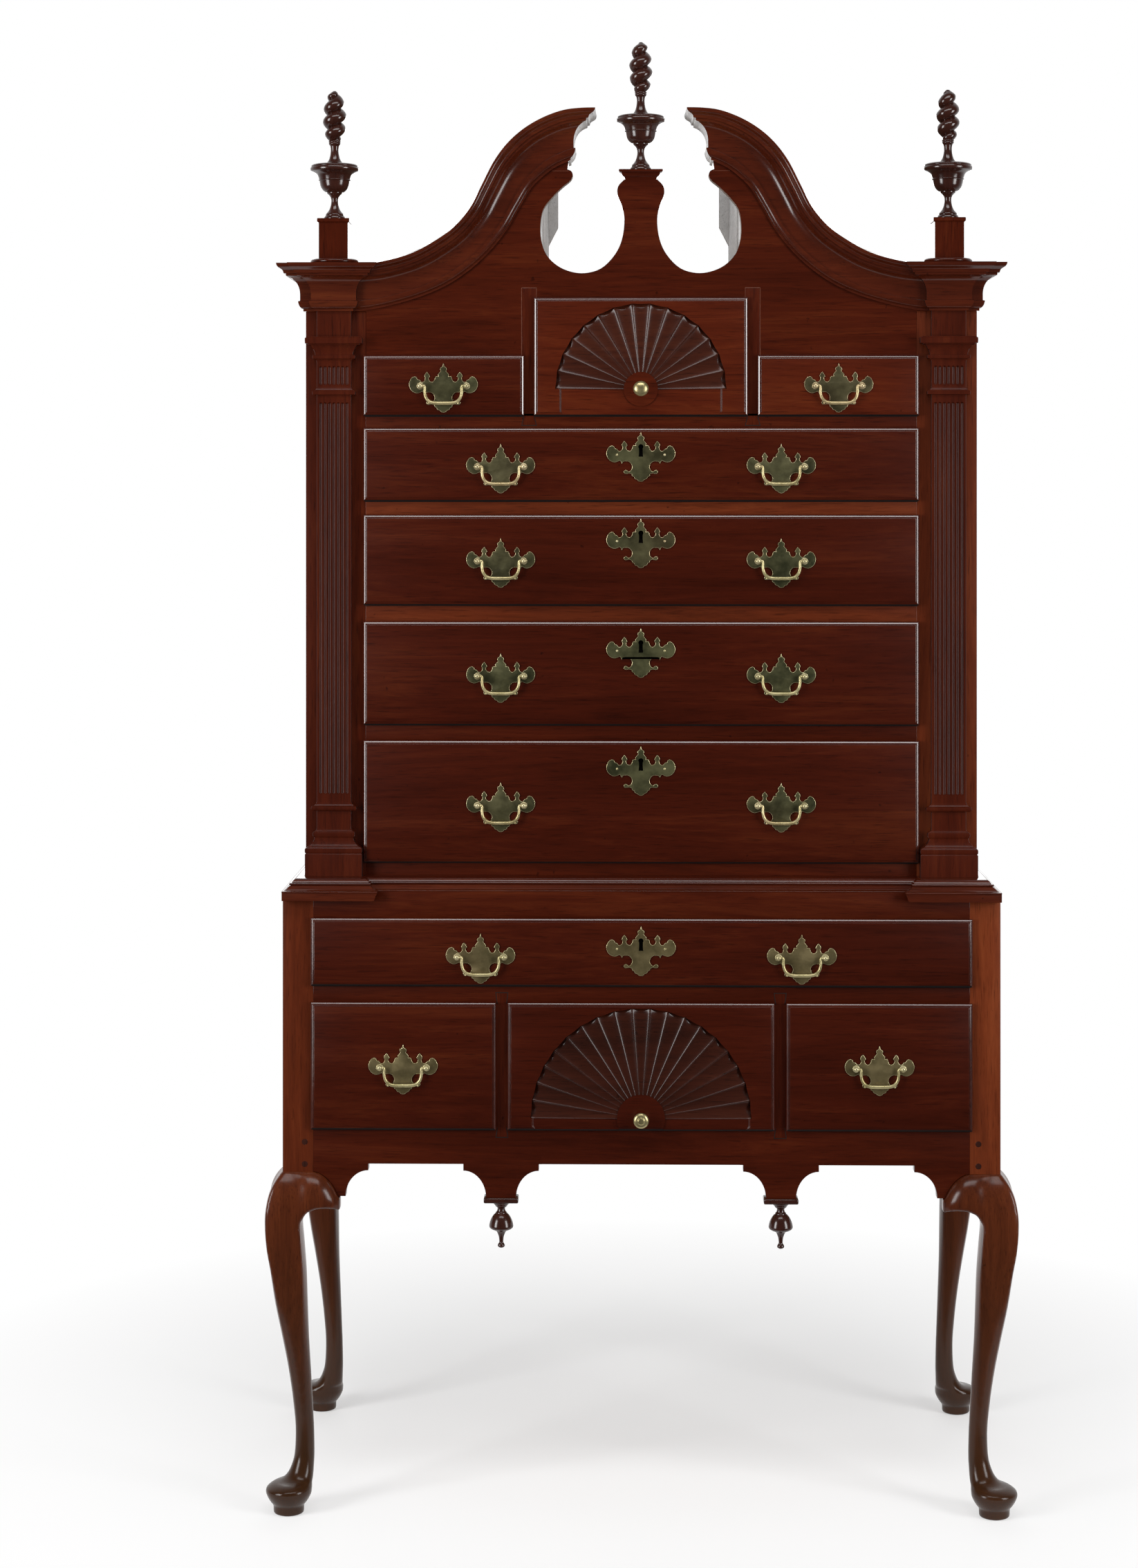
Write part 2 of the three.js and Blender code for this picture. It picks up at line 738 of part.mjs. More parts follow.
function lowerCarcass() {
  const wall = lowerHalf - sideThickness;
  const postBack = caseDepth - postWidth;
  const ears = earTopLine();
  const edge = [...ears, ...tongueSide(earReach + fitGap + skirtEndRun, belowSkirt(skirtEndDrop), 1)];
  const sideOutline = [
    ...edge,
    ...edge.map(([y, z]) => [caseDepth - y, z]).reverse(),
    [postBack, lowerTop],
    [postWidth, lowerTop],
  ];
  const halves = [sidePrism(sideOutline, wall, lowerHalf)];
  const smallTop = lowerSmallBottom + lipOverlap;
  const longTop = lowerLongBottom + lipOverlap;
  const inner = lowerFanHalf - lipOverlap;
  const outer = lowerSmallInner + lipOverlap;
  const wallMiddle = wall + sideThickness / 2;
  for (const top of [smallTop, longTop]) {
    halves.push(
      runner(
        lowerOpeningHalf - runnerWidth, wallMiddle, lowerOpeningHalf + guideGap, wallMiddle,
        postWidth, postBack, top,
      ),
      box(
        lowerOpeningHalf - runnerWidth, lowerOpeningHalf, boardThickness, caseBack,
        top - runnerHeight, top,
      ),
    );
  }
  halves.push(
    dividerRunner(inner, outer, boardThickness, smallTop),
    box(inner, outer, boardThickness, caseBack, longTop - runnerHeight, longTop),
  );
  const topFoot = lowerTop - backThickness;
  return join([
    box(-lowerOpeningHalf, lowerOpeningHalf, backFace, caseDepth, skirtFlat, lowerTop),
    box(-lowerOpeningHalf, lowerOpeningHalf, boardThickness, caseBack, topFoot, lowerTop),
    box(-wallMiddle, wallMiddle, postWidth, postBack, topFoot, lowerTop),
    ...halves,
    ...halves.map(mirrored),
  ]);
}

// Left half of the bonnet: its roof follows the swan neck, with a wall beside the centre opening
function bonnetHalf() {
  const top = swanTopLine(-bonnetWallOffset, boardSteps);
  const under = top.map(([x, z], index) => {
    const before = top[Math.max(index - 1, 0)];
    const after = top[Math.min(index + 1, top.length - 1)];
    const [dx, dz] = [after[0] - before[0], after[1] - before[1]];
    const length = Math.hypot(dx, dz);
    return [x + (dz / length) * roofThickness, z - (dx / length) * roofThickness];
  });
  const end = top[top.length - 1];
  under[0] = [-upperHalf, top[0][1] - roofThickness];
  under[under.length - 1] = [end[0], end[1] - roofThickness];
  return [
    frontPrism([...top, ...under.reverse()], upperFaceBack, caseBack),
    box(
      end[0] - roofThickness, end[0], upperFaceBack, caseBack,
      dustBoardHeight - roofThickness, end[1] - roofThickness / 2,
    ),
  ];
}

function upperBackBoard() {
  const half = backOpeningShare * bonnetWallOffset;
  const left = [
    [-upperHalf, lowerTop],
    ...swanTopLine(-half, boardSteps),
    [-half, stileTop + backShoulderShare * swanRise],
    [-bonnetWallOffset, stileTop + backFlareShare * swanRise],
    [-bonnetWallOffset, dustBoardHeight],
  ];
  return frontPrism([...left, ...mirroredOutline(left)], backFace, caseDepth);
}

function upperCarcass() {
  const wall = upperHalf - sideThickness;
  const wallMiddle = wall + sideThickness / 2;
  const front = upperFaceBack;
  const opening = upperLongHalf - lipOverlap;
  const tierTop = upperSmallBottom + lipOverlap;
  const runnerTops = [tierTop, ...upperLongs.map(({ bottom }) => bottom + lipOverlap)];
  const halves = [
    box(wall, upperHalf, front, caseBack, lowerTop, corniceTop - boardSetDown - roofThickness / 2),
    dividerRunner(upperFanHalf - lipOverlap, upperSmallInner + lipOverlap, front, tierTop),
    ...bonnetHalf().map(mirrored),
    ...runnerTops.map((top) => runner(
      opening - runnerWidth, wallMiddle, opening + guideGap, wallMiddle, front, caseBack, top,
    )),
  ];
  return join([
    upperBackBoard(),
    box(-upperHalf, upperHalf, front, caseBack, lowerTop, lowerTop + sideThickness),
    box(-wallMiddle, wallMiddle, front, caseBack, dustBoardHeight - roofThickness, dustBoardHeight),
    ...halves,
    ...halves.map(mirrored),
  ]);
}

// Waist moulding: reach and height as shares of waistStep and waistMouldingHeight
const waistShares = [
  [0, 0], [1, 0], [1, 0.08], [0.95, 0.24], [0.86, 0.38], [0.7, 0.47], [0.57, 0.5], [0.57, 0.56],
  [0.52, 0.73], [0.41, 0.88], [0.25, 0.97], [0.06, 1], [0, 1],
];

function waistMoulding() {
  const half = upperHalf + fitGap;
  const reach = waistStep - fitGap;
  const right = [
    [plinthInner - fitGap, upperFace - fitGap],
    [plinthInner - fitGap, plinthFace - fitGap],
    [half, plinthFace - fitGap],
    [half, caseDepth],
  ];
  const path = [...mirroredOutline(right), ...right];
  const moulding = loft(path.map((_, index) => waistShares.map(([reachShare, heightShare]) => {
    const [x, y] = mitredPoint(path, index, reachShare * reach);
    return [x, y, lowerTop + heightShare * waistMouldingHeight];
  })));
  const fasciaEnd = plinthInner - waistStep;
  const fasciaTop = lowerTop + waistShares[2][1] * waistMouldingHeight / 2;
  const fascia = frontPrism([
    [lowerHalf, lowerTop - fasciaHeight],
    [lowerHalf, fasciaTop],
    [fasciaEnd, fasciaTop],
    [fasciaEnd, lowerTop - fasciaHeight / 4],
    [fasciaEnd + fasciaBevel, lowerTop - fasciaHeight],
  ], plinthFace - waistStep, 0);
  return join([moulding, fascia, mirrored(fascia)]);
}

// Pilaster base and capital: height and reach beyond the shaft, as shares of pilasterBaseHeight
// or capitalHeight, and of plinthOut
const baseShares = [
  [0, 0.99], [0.412, 0.99], [0.42, 0.9], [0.446, 1], [0.48, 0.96], [0.492, 0.727], [0.533, 0.378],
  [0.59, 0.2], [0.605, 0.32], [0.66, 0.32], [0.685, 0.06], [0.697, 0], [0.894, 0], [0.904, 0.41],
  [0.945, 0.47], [0.975, 0.2], [1, 0],
];
const capitalShares = [
  [0, 0], [0.004, 0.38], [0.042, 0.39], [0.062, 0.17], [0.086, 0], [0.379, 0], [0.431, 0.15],
  [0.434, 0.36], [0.473, 0.36], [0.476, 0.14], [0.502, 0.163], [0.54, 0.32], [0.596, 0.5],
  [0.598, 0.773], [0.612, 0.773], [0.614, 1], [0.68, 1], [0.696, 0.81], [0.699, 0], [1, 0],
];
const shortFluteShares = [0.115, 0.346];
const fluteShares = [[-1, 0], [-0.6, 0.8], [0.6, 0.8], [1, 0]];

function flutes(bottom, top) {
  const section = fluteShares.map(([xShare, depthShare]) => [
    xShare * fluteHalf, breakFace + depthShare * fluteDepth,
  ]);
  const outline = [...section, [fluteHalf, breakFace - overrun], [-fluteHalf, breakFace - overrun]];
  const cuts = [];
  for (let flute = 0; flute < fluteCount; flute += 1) {
    const x = pilasterCentre + (flute - (fluteCount - 1) / 2) * flutePitch;
    cuts.push(planPrism(outline.map(([px, py]) => [x + px, py]), bottom, top));
  }
  return cuts;
}

function pilaster() {
  const shaftTop = stileTop - capitalHeight;
  const levels = [
    ...baseShares.map(([height, out]) => [lowerTop + height * pilasterBaseHeight, out]),
    ...capitalShares.map(([height, out]) => [shaftTop + height * capitalHeight, out]),
  ];
  const body = loft(levels.map(([z, out]) => {
    const half = shaftHalf + out * plinthOut;
    const front = breakFace - out * (plinthReach - shaftReach);
    return [
      [pilasterCentre - half, upperFace, z], [pilasterCentre - half, front, z],
      [pilasterCentre + half, front, z], [pilasterCentre + half, upperFace, z],
    ];
  }));
  const [shortFoot, shortHead] = shortFluteShares.map((share) => shaftTop + share * capitalHeight);
  const shaftFoot = lowerTop + pilasterBaseHeight;
  return [...flutes(shaftFoot + fluteMargin, shaftTop - fluteMargin), ...flutes(shortFoot, shortHead)]
    .reduce((whole, cut) => whole.subtract(cut), body);
}

// Cabriole leg: height as a share of legHeight, outer and inner edge as shares of postWidth,
// and roundness of the section from 0, square, to 1, round
const legShares = [
  [0.034, 0.16, 0.28, 1], [0.05, 0.32, 0.68, 1], [0.071, 0.569, 0.934, 1], [0.084, 0.4, 0.93, 1],
  [0.098, -0.02, 0.945, 1], [0.127, -0.22, 0.96, 1], [0.168, -0.328, 0.975, 1], [0.232, -0.374, 0.96, 1],
  [0.315, -0.352, 0.93, 0.95], [0.412, -0.24, 0.86, 0.85], [0.509, -0.08, 0.79, 0.75],
  [0.614, 0.143, 0.73, 0.6], [0.711, 0.37, 0.67, 0.45], [0.791, 0.533, 0.61, 0.35], [0.864, 0.576, 0.6, 0.3],
  [0.916, 0.504, 0.72, 0.25], [0.961, 0.324, 0.88, 0.15], [1, 0.02, 1, 0.1],
];

function legSection(z, outer, inner, roundness) {
  const centre = (inner - outer) / 2;
  const half = (inner + outer) / 2;
  const ring = [];
  for (let side = 0; side < legSides; side += 1) {
    const angle = ((side + 0.5) / legSides) * 2 * Math.PI - Math.PI * 3 / 4;
    const [c, s] = [Math.cos(angle), Math.sin(angle)];
    const corner = 1 / Math.max(Math.abs(c), Math.abs(s));
    const reach = half * (roundness + (1 - roundness) * corner);
    ring.push([centre + reach * c, centre + reach * s, z]);
  }
  return ring;
}

function kneeReturn() {
  const foot = legHeight - earHeight;
  return loft(earShares.map(([reach, top, bottom, front, back]) => {
    const x = reach * earReach;
    const [z0, z1] = [foot + bottom * earHeight, foot + top * earHeight];
    const [y0, y1] = [-front * earFront, back * postWidth];
    return [[x, y0, z0], [x, y0, z1], [x, y1, z1], [x, y1, z0]];
  }));
}

// Foot: radius and height as shares of footRadius and footHeight, above the pad
const footShares = [[0.8, 0.5], [1, 0.82], [0.75, 1], [0, 1]];

// A leg with its post: the front left one, mirrored to the other corners. A back leg has no
// return on its back face and no groove.
function leg(side, isBack) {
  const shank = loft(legShares.map(([zShare, outer, inner, roundness]) => (
    legSection(zShare * legHeight, outer * postWidth, inner * postWidth, roundness)
  )));
  const post = box(0, postWidth, 0, postWidth, legHeight - fitGap, lowerTop);
  const foot = turned([
    [0, 0], [padRadius, 0], [padRadius, padHeight],
    ...footShares.map(([radius, height]) => [radius * footRadius, height * footHeight]),
  ], footSegments, footInset, footInset);
  const frontEar = kneeReturn();
  const swap = new THREE.Matrix4().makeBasis(
    new THREE.Vector3(0, 1, 0), new THREE.Vector3(1, 0, 0), new THREE.Vector3(0, 0, 1),
  );
  const sideEar = transformed(frontEar, swap);
  const whole = join([shank, post, foot, sideEar]);
  const shaped = isBack ? whole : whole.add(frontEar).subtract(postGroove());
  const turn = new THREE.Matrix4().makeScale(-side, isBack ? -1 : 1, 1);
  turn.setPosition(side * lowerHalf, isBack ? caseDepth : 0, 0);
  return transformed(shaped, turn);
}

// Turned drop: radius and height as shares of dropRadius and dropLength
const dropShares = [
  [0, 0], [0.16, 0.01], [0.3, 0.06], [0.16, 0.123], [0.276, 0.398], [0.9, 0.4], [1, 0.466],
  [0.91, 0.57], [0.6, 0.69], [0.33, 0.77], [0.43, 0.817], [0.285, 0.87], [0.4, 0.9],
  [0.746, 0.925], [0.746, 1.03], [0, 1.03],
];

function drop(side) {
  const padFoot = tongueBottom - dropPadHeight;
  const x = side * tongueCentre;
  const profile = dropShares.map(([radius, height]) => [radius * dropRadius, height * dropLength]);
  const turning = turned(profile, dropSegments, x, boardThickness / 2, padFoot - dropLength);
  return turning.add(box(
    x - dropPadHalf, x + dropPadHalf, -dropPadReach, boardThickness + dropPadReach, padFoot, tongueBottom,
  ));
}

// Urn finial: radius and height as shares of finialRadius and finialHeight
const urnShares = [
  [0, 0], [0.43, 0], [0.45, 0.03], [0.4, 0.048], [0.17, 0.1], [0.137, 0.147], [0.17, 0.185],
  [0.28, 0.203], [0.24, 0.215], [0.42, 0.24], [0.655, 0.303], [0.76, 0.362],
  [0.97, 0.366], [1, 0.395], [0.97, 0.424], [0.33, 0.43], [0.18, 0.47], [0.155, 0.515],
  [0.24, 0.565], [0.25, 0.585], [0.15, 0.602], [0, 0.602],
];
const flameShares = [0.45, 0.85, 1, 0.95, 0.76, 0.45, 0.08];
const flameStartShare = 0.593;

function finial(x, y, base) {
  const urn = turned(
    urnShares.map(([radius, height]) => [radius * finialRadius, height * finialHeight]), finialSegments,
  );
  const rings = flameShares.map((radiusShare, ring) => {
    const share = ring / (flameShares.length - 1);
    const z = finialHeight * (flameStartShare + (1 - flameStartShare) * share);
    return Array.from({ length: flameSides }, (_, side) => {
      const angle = (side / flameSides) * 2 * Math.PI;
      const valley = (1 - Math.cos(flameLobes * angle - flameTurn * share)) / 2;
      const reach = radiusShare * (flameRadius - flameLobeDepth * valley);
      return [reach * Math.cos(angle), reach * Math.sin(angle), z];
    });
  });
  const dowel = peg(dowelRadius, -dowelLength, overrun, dowelSides);
  return moved(join([urn, loft(rings), dowel]), x, y, base);
}

// Fan carving as a solid that is cut from a drawer front, round the fan's centre
function fanLobes(fan, face) {
  const columns = fan.lobes * fanLobeSteps;
  const rings = [];
  for (let column = 0; column <= columns; column += 1) {
    const angle = Math.PI * (column / columns);
    const phase = (column % fanLobeSteps) / fanLobeSteps;
    const belly = Math.sin(Math.PI * phase);
    const depth = face + fanRidgeDepth + (fanLobeDepth - fanRidgeDepth) * belly;
    const rim = fan.rim - fanScallop * (1 - belly);
    rings.push([[fan.hub, depth], [rim, depth], [rim, face - overrun], [fan.hub, face - overrun]]
      .map(([radius, y]) => [radius * Math.cos(angle), y, radius * Math.sin(angle)]));
  }
  return loft(rings);
}

function fanCuts(fan, face, bottom) {
  const centre = bottom + fan.centre;
  const hub = moved(forward(peg(fan.hub, -fanLobeDepth, overrun * 2, fanHubSegments)), 0, face, centre);
  const band = box(-fan.band, fan.band, face - overrun, face + fanBandDepth, bottom, centre);
  return moved(fanLobes(fan, face), 0, 0, centre).add(band.subtract(hub));
}

// Thumb moulding of a drawer front: inset and depth, as shares of thumbWidth and lipThickness
const thumbShares = [[0, 0], [0, 0.42], [0.12, 0.68], [0.35, 0.86], [0.62, 0.92], [0.64, 1]];

// A drawer in one piece: lipped front, sides, back and bottom
function drawer({ left, right, bottom, height, face, fan }) {
  const top = bottom + height;
  const lip = loft(thumbShares.map(([insetShare, depthShare]) => {
    const inset = insetShare * thumbWidth;
    const y = face - runClearance - depthShare * (lipThickness - runClearance);
    return [
      [left + inset, y, bottom + inset], [right - inset, y, bottom + inset],
      [right - inset, y, top - inset], [left + inset, y, top - inset],
    ];
  }));
  const x0 = left + lipOverlap + sideClearance;
  const x1 = right - lipOverlap - sideClearance;
  const z0 = bottom + lipOverlap + runClearance;
  const z1 = top - lipOverlap - topClearance;
  const y0 = face + frontInner;
  const trunk = box(x0, x1, face - lipThickness / 2, drawerBack, z0, z1);
  const floor = z0 + boxBottomRise;
  const hollow = box(
    x0 + boxSide, x1 - boxSide, y0, drawerBack - boxSide, floor + boxBottom, z1 + overrun,
  );
  const under = box(x0 + boxSide, x1 - boxSide, y0, drawerBack - boxSide, z0 - overrun, floor);
  const trim = box(x0 - overrun, x1 + overrun, y0, drawerBack + overrun, z1 - boxBackDrop, z1 + overrun);
  const whole = [hollow, under, trim].reduce((solid, cut) => solid.subtract(cut), lip.add(trunk));
  return fan ? whole.subtract(fanCuts(fan, face - lipThickness, bottom)) : whole;
}

// Pull plate outline, right half, from the top: X as a share of pullHalfWidth, and height as a
// share of pullTop above the posts or of pullFoot below them
const pullShares = [
  [0, 1], [0.09, 0.78], [0.08, 0.66], [0.15, 0.54], [0.22, 0.41], [0.3, 0.19], [0.38, 0.2], [0.42, 0.31],
  [0.39, 0.43], [0.475, 0.62], [0.555, 0.43], [0.54, 0.27], [0.62, 0.17], [0.83, 0.42], [0.95, 0.28],
  [1, 0.08], [0.96, -0.13], [0.8, -0.26], [0.28, -0.25], [0.225, -0.41], [0.27, -0.6], [0.22, -0.78], [0, -1],
];

function pullPlate(x, z, face) {
  const right = pullShares.map(([xShare, heightShare]) => [
    xShare * pullHalfWidth, heightShare * (heightShare > 0 ? pullTop : pullFoot),
  ]);
  const plate = frontPrism([...right, ...mirroredOutline(right).slice(1, -1)], face - plateThickness, face);
  const plateFace = face - plateThickness;
  const stud = forward(peg(postRadius, -plateThickness / 2, postReach, postSides));
  const post = moved(stud, postOffset, plateFace, 0);
  const half = bailEndRadius + pinClearance;
  const axis = plateFace - bailAxisReach;
  const innerFace = postOffset - postRadius;
  const socket = box(
    innerFace - overrun, innerFace + pinReach + pinClearance, axis - half, axis + half, -half, half,
  );
  const bored = post.subtract(socket);
  return moved(join([plate, bored, mirrored(bored)]), x, 0, z);
}

// Bail path, right half, from the shoulder round: X as a share of postOffset, drop as a share of bailDrop
const bailShares = [
  [0.81, 0], [0.772, 0.04], [0.765, 0.16], [0.772, 0.3], [0.73, 0.52], [0.64, 0.7], [0.5, 0.88],
  [0.33, 0.985], [0, 1],
];
const bailTension = 0.4;
const bailSwellPower = 0.6;

function bail(x, z, face) {
  const pin = new THREE.Vector3(postOffset - postRadius + pinReach, 0, 0);
  const shoulder = new THREE.Vector3(postOffset - postRadius - fitGap, 0, 0);
  const half = [pin, shoulder, ...bailShares.map(([xShare, dropShare]) => (
    new THREE.Vector3(xShare * postOffset, 0, -dropShare * bailDrop)
  ))];
  const otherHalf = half.slice(0, -1).map((point) => new THREE.Vector3(-point.x, 0, point.z)).reverse();
  const path = new THREE.CatmullRomCurve3([...half, ...otherHalf], false, 'catmullrom', bailTension);
  const across = new THREE.Vector3(0, 1, 0);
  const rings = [];
  for (let step = 0; step <= bailSteps; step += 1) {
    const point = path.getPointAt(step / bailSteps);
    const out = new THREE.Vector3().crossVectors(path.getTangentAt(step / bailSteps), across).normalize();
    const swell = Math.sin(Math.PI * (step / bailSteps)) ** bailSwellPower;
    const radius = bailEndRadius + (bailRadius - bailEndRadius) * swell;
    rings.push(Array.from({ length: bailSides }, (_, side) => {
      const angle = (side / bailSides) * 2 * Math.PI;
      const place = point.clone()
        .addScaledVector(out, radius * Math.cos(angle))
        .addScaledVector(across, radius * Math.sin(angle));
      return place.toArray();
    }));
  }
  return moved(loft(rings), x, face - plateThickness - bailAxisReach, z);
}

// Round knob: radius and reach as shares of knobRadius and knobLength
const knobShares = [
  [0, 0], [0.55, 0], [0.6, 0.06], [0.38, 0.2], [0.38, 0.34], [0.9, 0.55], [1, 0.68],
  [0.92, 0.82], [0.6, 0.95], [0, 1],
];

function knob(z, face) {
  const profile = knobShares.map(([radius, reach]) => [radius * knobRadius, reach * knobLength]);
  return moved(forward(turned(profile, knobSegments)), 0, face, z);
}

// Assembly
const highboy = new THREE.Group();
const lowerGroup = new THREE.Group();
const upperGroup = new THREE.Group();
highboy.add(lowerGroup, upperGroup);

function place(group, name, solid, material) {
  const mesh = new THREE.Mesh(toGeometry(solid), material);
  mesh.name = name;
  group.add(mesh);
}

for (const [word, side] of [['left', -1], ['right', 1]]) {
  const turnTo = (leftSolid) => (side < 0 ? leftSolid : mirrored(leftSolid));
  place(lowerGroup, `leg_front_${word}`, leg(side, false), woodRed);
  place(lowerGroup, `leg_back_${word}`, leg(side, true), woodRed);
  place(lowerGroup, `drop_${word}`, drop(side), woodDark);
  place(upperGroup, `pilaster_${word}`, turnTo(mirrored(pilaster())), woodRed);
  place(upperGroup, `cornice_${word}`, turnTo(swanCornice()), woodRed);
  const sideFinial = finial(side * pilasterCentre, sideFinialSetback, sideFinialBase);
  place(upperGroup, `finial_${word}`, sideFinial, woodDark);
}

place(lowerGroup, 'lower_carcass', lowerCarcass(), woodPlain);
place(lowerGroup, 'lower_front_frame', lowerFrontFrame(), woodRed);
place(upperGroup, 'waist_moulding', waistMoulding(), woodRed);
place(upperGroup, 'upper_carcass', upperCarcass(), woodPlain);
place(upperGroup, 'upper_front_frame', upperFrontFrame(), woodRed);
place(upperGroup, 'scroll_board', scrollBoard(), woodRed);
const boardMiddle = (upperFace + upperFaceBack) / 2;
place(upperGroup, 'finial_centre', finial(0, boardMiddle, centrePlinthTop + centreCapHeight), woodDark);

// Drawers with their pulls
const upperRow = { face: upperFace, group: upperGroup };
const lowerRow = { face: 0, group: lowerGroup };
const upperTier = { ...upperRow, bottom: upperSmallBottom };
const lowerTier = { ...lowerRow, bottom: lowerSmallBottom, height: lowerSmallHeight };

function longDrawer(half, pullShare) {
  return { left: -half, right: half, pulls: [-pullShare * half, pullShare * half] };
}

function smallDrawer(word, inner, outer) {
  const [left, right] = word === 'left' ? [-outer, -inner] : [inner, outer];
  return { left, right, pulls: [(left + right) / 2], pullDrop: smallPullDrop };
}

const drawers = [
  ...upperLongs.map((row) => ({ ...upperRow, ...row, ...longDrawer(upperLongHalf, upperLongPullShare) })),
  ...['left', 'right'].map((word) => ({
    ...upperTier,
    ...smallDrawer(word, upperSmallInner, upperLongHalf),
    name: `upper_small_${word}`,
    height: upperSmallHeight,
  })),
  {
    ...upperTier, name: 'upper_fan', height: upperFanHeight,
    left: -upperFanHalf, right: upperFanHalf, pulls: [], fan: upperFan,
  },
  {
    ...lowerRow, ...longDrawer(lowerLongHalf, lowerLongPullShare), name: 'lower_long',
    bottom: lowerLongBottom, height: lowerLongHeight, pullDrop: lowerLongPullDrop,
  },
  ...['left', 'right'].map((word) => ({
    ...lowerTier, ...smallDrawer(word, lowerSmallInner, lowerLongHalf), name: `lower_small_${word}`,
  })),
  { ...lowerTier, name: 'lower_fan', left: -lowerFanHalf, right: lowerFanHalf, pulls: [], fan: lowerFan },
];

for (const row of drawers) {
  place(row.group, `${row.name}_drawer`, drawer(row), woodDrawer);
  const frontFace = row.face - lipThickness;
  row.pulls.forEach((x, index) => {
    const tag = row.pulls.length > 1 ? `${row.name}_${['left', 'right'][index]}` : row.name;
    const z = row.bottom + row.height / 2 - row.pullDrop;
    place(row.group, `${tag}_plate`, pullPlate(x, z, frontFace), brassPlate);
    place(row.group, `${tag}_bail`, bail(x, z, frontFace), brassBright);
  });
  if (row.fan) {
    place(row.group, `${row.name}_knob`, knob(row.bottom + row.fan.centre, frontFace), brassBright);
  }
}

// The origin is on the floor, under the middle of the whole part
const bounds = new THREE.Box3().setFromObject(highboy);
highboy.position.y = -(bounds.min.y + bounds.max.y) / 2;

export default highboy;
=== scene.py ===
from math import asin, copysign, cos, degrees, pi, radians, sin, tau

import bmesh
import bpy
from mathutils import Matrix, Vector


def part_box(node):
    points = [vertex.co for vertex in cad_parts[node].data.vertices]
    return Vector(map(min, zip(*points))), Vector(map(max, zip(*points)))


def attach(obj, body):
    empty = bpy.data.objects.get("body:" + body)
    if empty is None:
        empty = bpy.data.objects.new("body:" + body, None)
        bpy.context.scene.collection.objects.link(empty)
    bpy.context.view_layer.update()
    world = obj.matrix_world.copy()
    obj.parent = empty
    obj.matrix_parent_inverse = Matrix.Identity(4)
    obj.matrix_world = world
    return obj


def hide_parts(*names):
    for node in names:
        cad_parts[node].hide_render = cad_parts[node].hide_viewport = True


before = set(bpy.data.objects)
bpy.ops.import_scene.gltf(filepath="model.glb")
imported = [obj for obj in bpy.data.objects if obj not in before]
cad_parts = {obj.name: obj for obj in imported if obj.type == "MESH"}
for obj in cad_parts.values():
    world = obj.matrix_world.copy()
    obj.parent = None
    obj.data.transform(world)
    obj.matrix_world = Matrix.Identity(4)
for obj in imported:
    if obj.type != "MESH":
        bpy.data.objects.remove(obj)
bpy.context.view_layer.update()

# Places are in millimetres, from the lower case's front face, the floor and the centre line
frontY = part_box("lower_front_frame")[0].y
toFrame = Matrix.Translation((0, frontY, 0)) @ Matrix.Scale(0.001, 4)

case = {
    "lowerHalf": 536.5, "upperHalf": 505.0, "upperFace": 31.5, "upperFaceBack": 53.5, "depth": 525.0,
    "backFace": 513.0, "post": 46.0, "board": 22.0, "side": 18.0, "legTop": 514.0, "lowerTop": 933.0,
    "stileTop": 1803.3, "corniceTop": 1874.0, "dustBoard": 1850.0, "dividerTop": 1838.7,
    "lipOverlap": 3.5, "lipThickness": 10.0,
}
sides = ((-1, "left"), (1, "right"))

# Materials

# dark, middle and light colour of each wood
woodTones = {
    "case": ((0.020, 0.0026, 0.0009), (0.047, 0.0062, 0.0016), (0.084, 0.0150, 0.0036)),
    "upright": ((0.036, 0.0062, 0.0021), (0.092, 0.0165, 0.0048), (0.150, 0.0330, 0.0095)),
    "drawer": ((0.018, 0.0023, 0.0008), (0.041, 0.0052, 0.0015), (0.076, 0.0130, 0.0032)),
    "leg": ((0.031, 0.0064, 0.0024), (0.082, 0.0180, 0.0055), (0.140, 0.0370, 0.0115)),
    "turned": ((0.016, 0.0050, 0.0034), (0.031, 0.0086, 0.0054), (0.054, 0.0155, 0.0088)),
    "carved": ((0.015, 0.0036, 0.0019), (0.034, 0.0074, 0.0034), (0.060, 0.0145, 0.0058)),
    "pine": ((0.20, 0.098, 0.042), (0.32, 0.175, 0.080), (0.43, 0.26, 0.13)),
    "roof": ((0.080, 0.048, 0.030), (0.14, 0.088, 0.058), (0.21, 0.140, 0.095)),
    "board": ((0.105, 0.066, 0.042), (0.175, 0.115, 0.078), (0.25, 0.175, 0.120)),
    "mould": ((0.025, 0.0036, 0.0012), (0.058, 0.0088, 0.0025), (0.102, 0.0200, 0.0052)),
    "worn": ((0.080, 0.024, 0.014), (0.135, 0.046, 0.028), (0.200, 0.080, 0.052)),
    "sunned": ((0.048, 0.0088, 0.0030), (0.124, 0.0238, 0.0068), (0.200, 0.0460, 0.0130)),
    "warm": ((0.027, 0.0036, 0.0012), (0.062, 0.0086, 0.0024), (0.108, 0.0200, 0.0050)),
    # painted shade: a near-black tone for faces that turn sideways
    "shade": ((0.012, 0.0036, 0.0026), (0.020, 0.0062, 0.0044), (0.032, 0.0100, 0.0068)),
    # near-black tone for the dark joint lines round the dovetails, and painted shade under the drawers' lips
    "grime": ((0.003, 0.0012, 0.0007), (0.006, 0.0021, 0.0012), (0.012, 0.0040, 0.0020)),
    # pale grey dusty wood, made paler still as painted light from behind
    "dusty": ((0.42, 0.415, 0.41), (0.64, 0.635, 0.63), (0.74, 0.735, 0.73)),
}
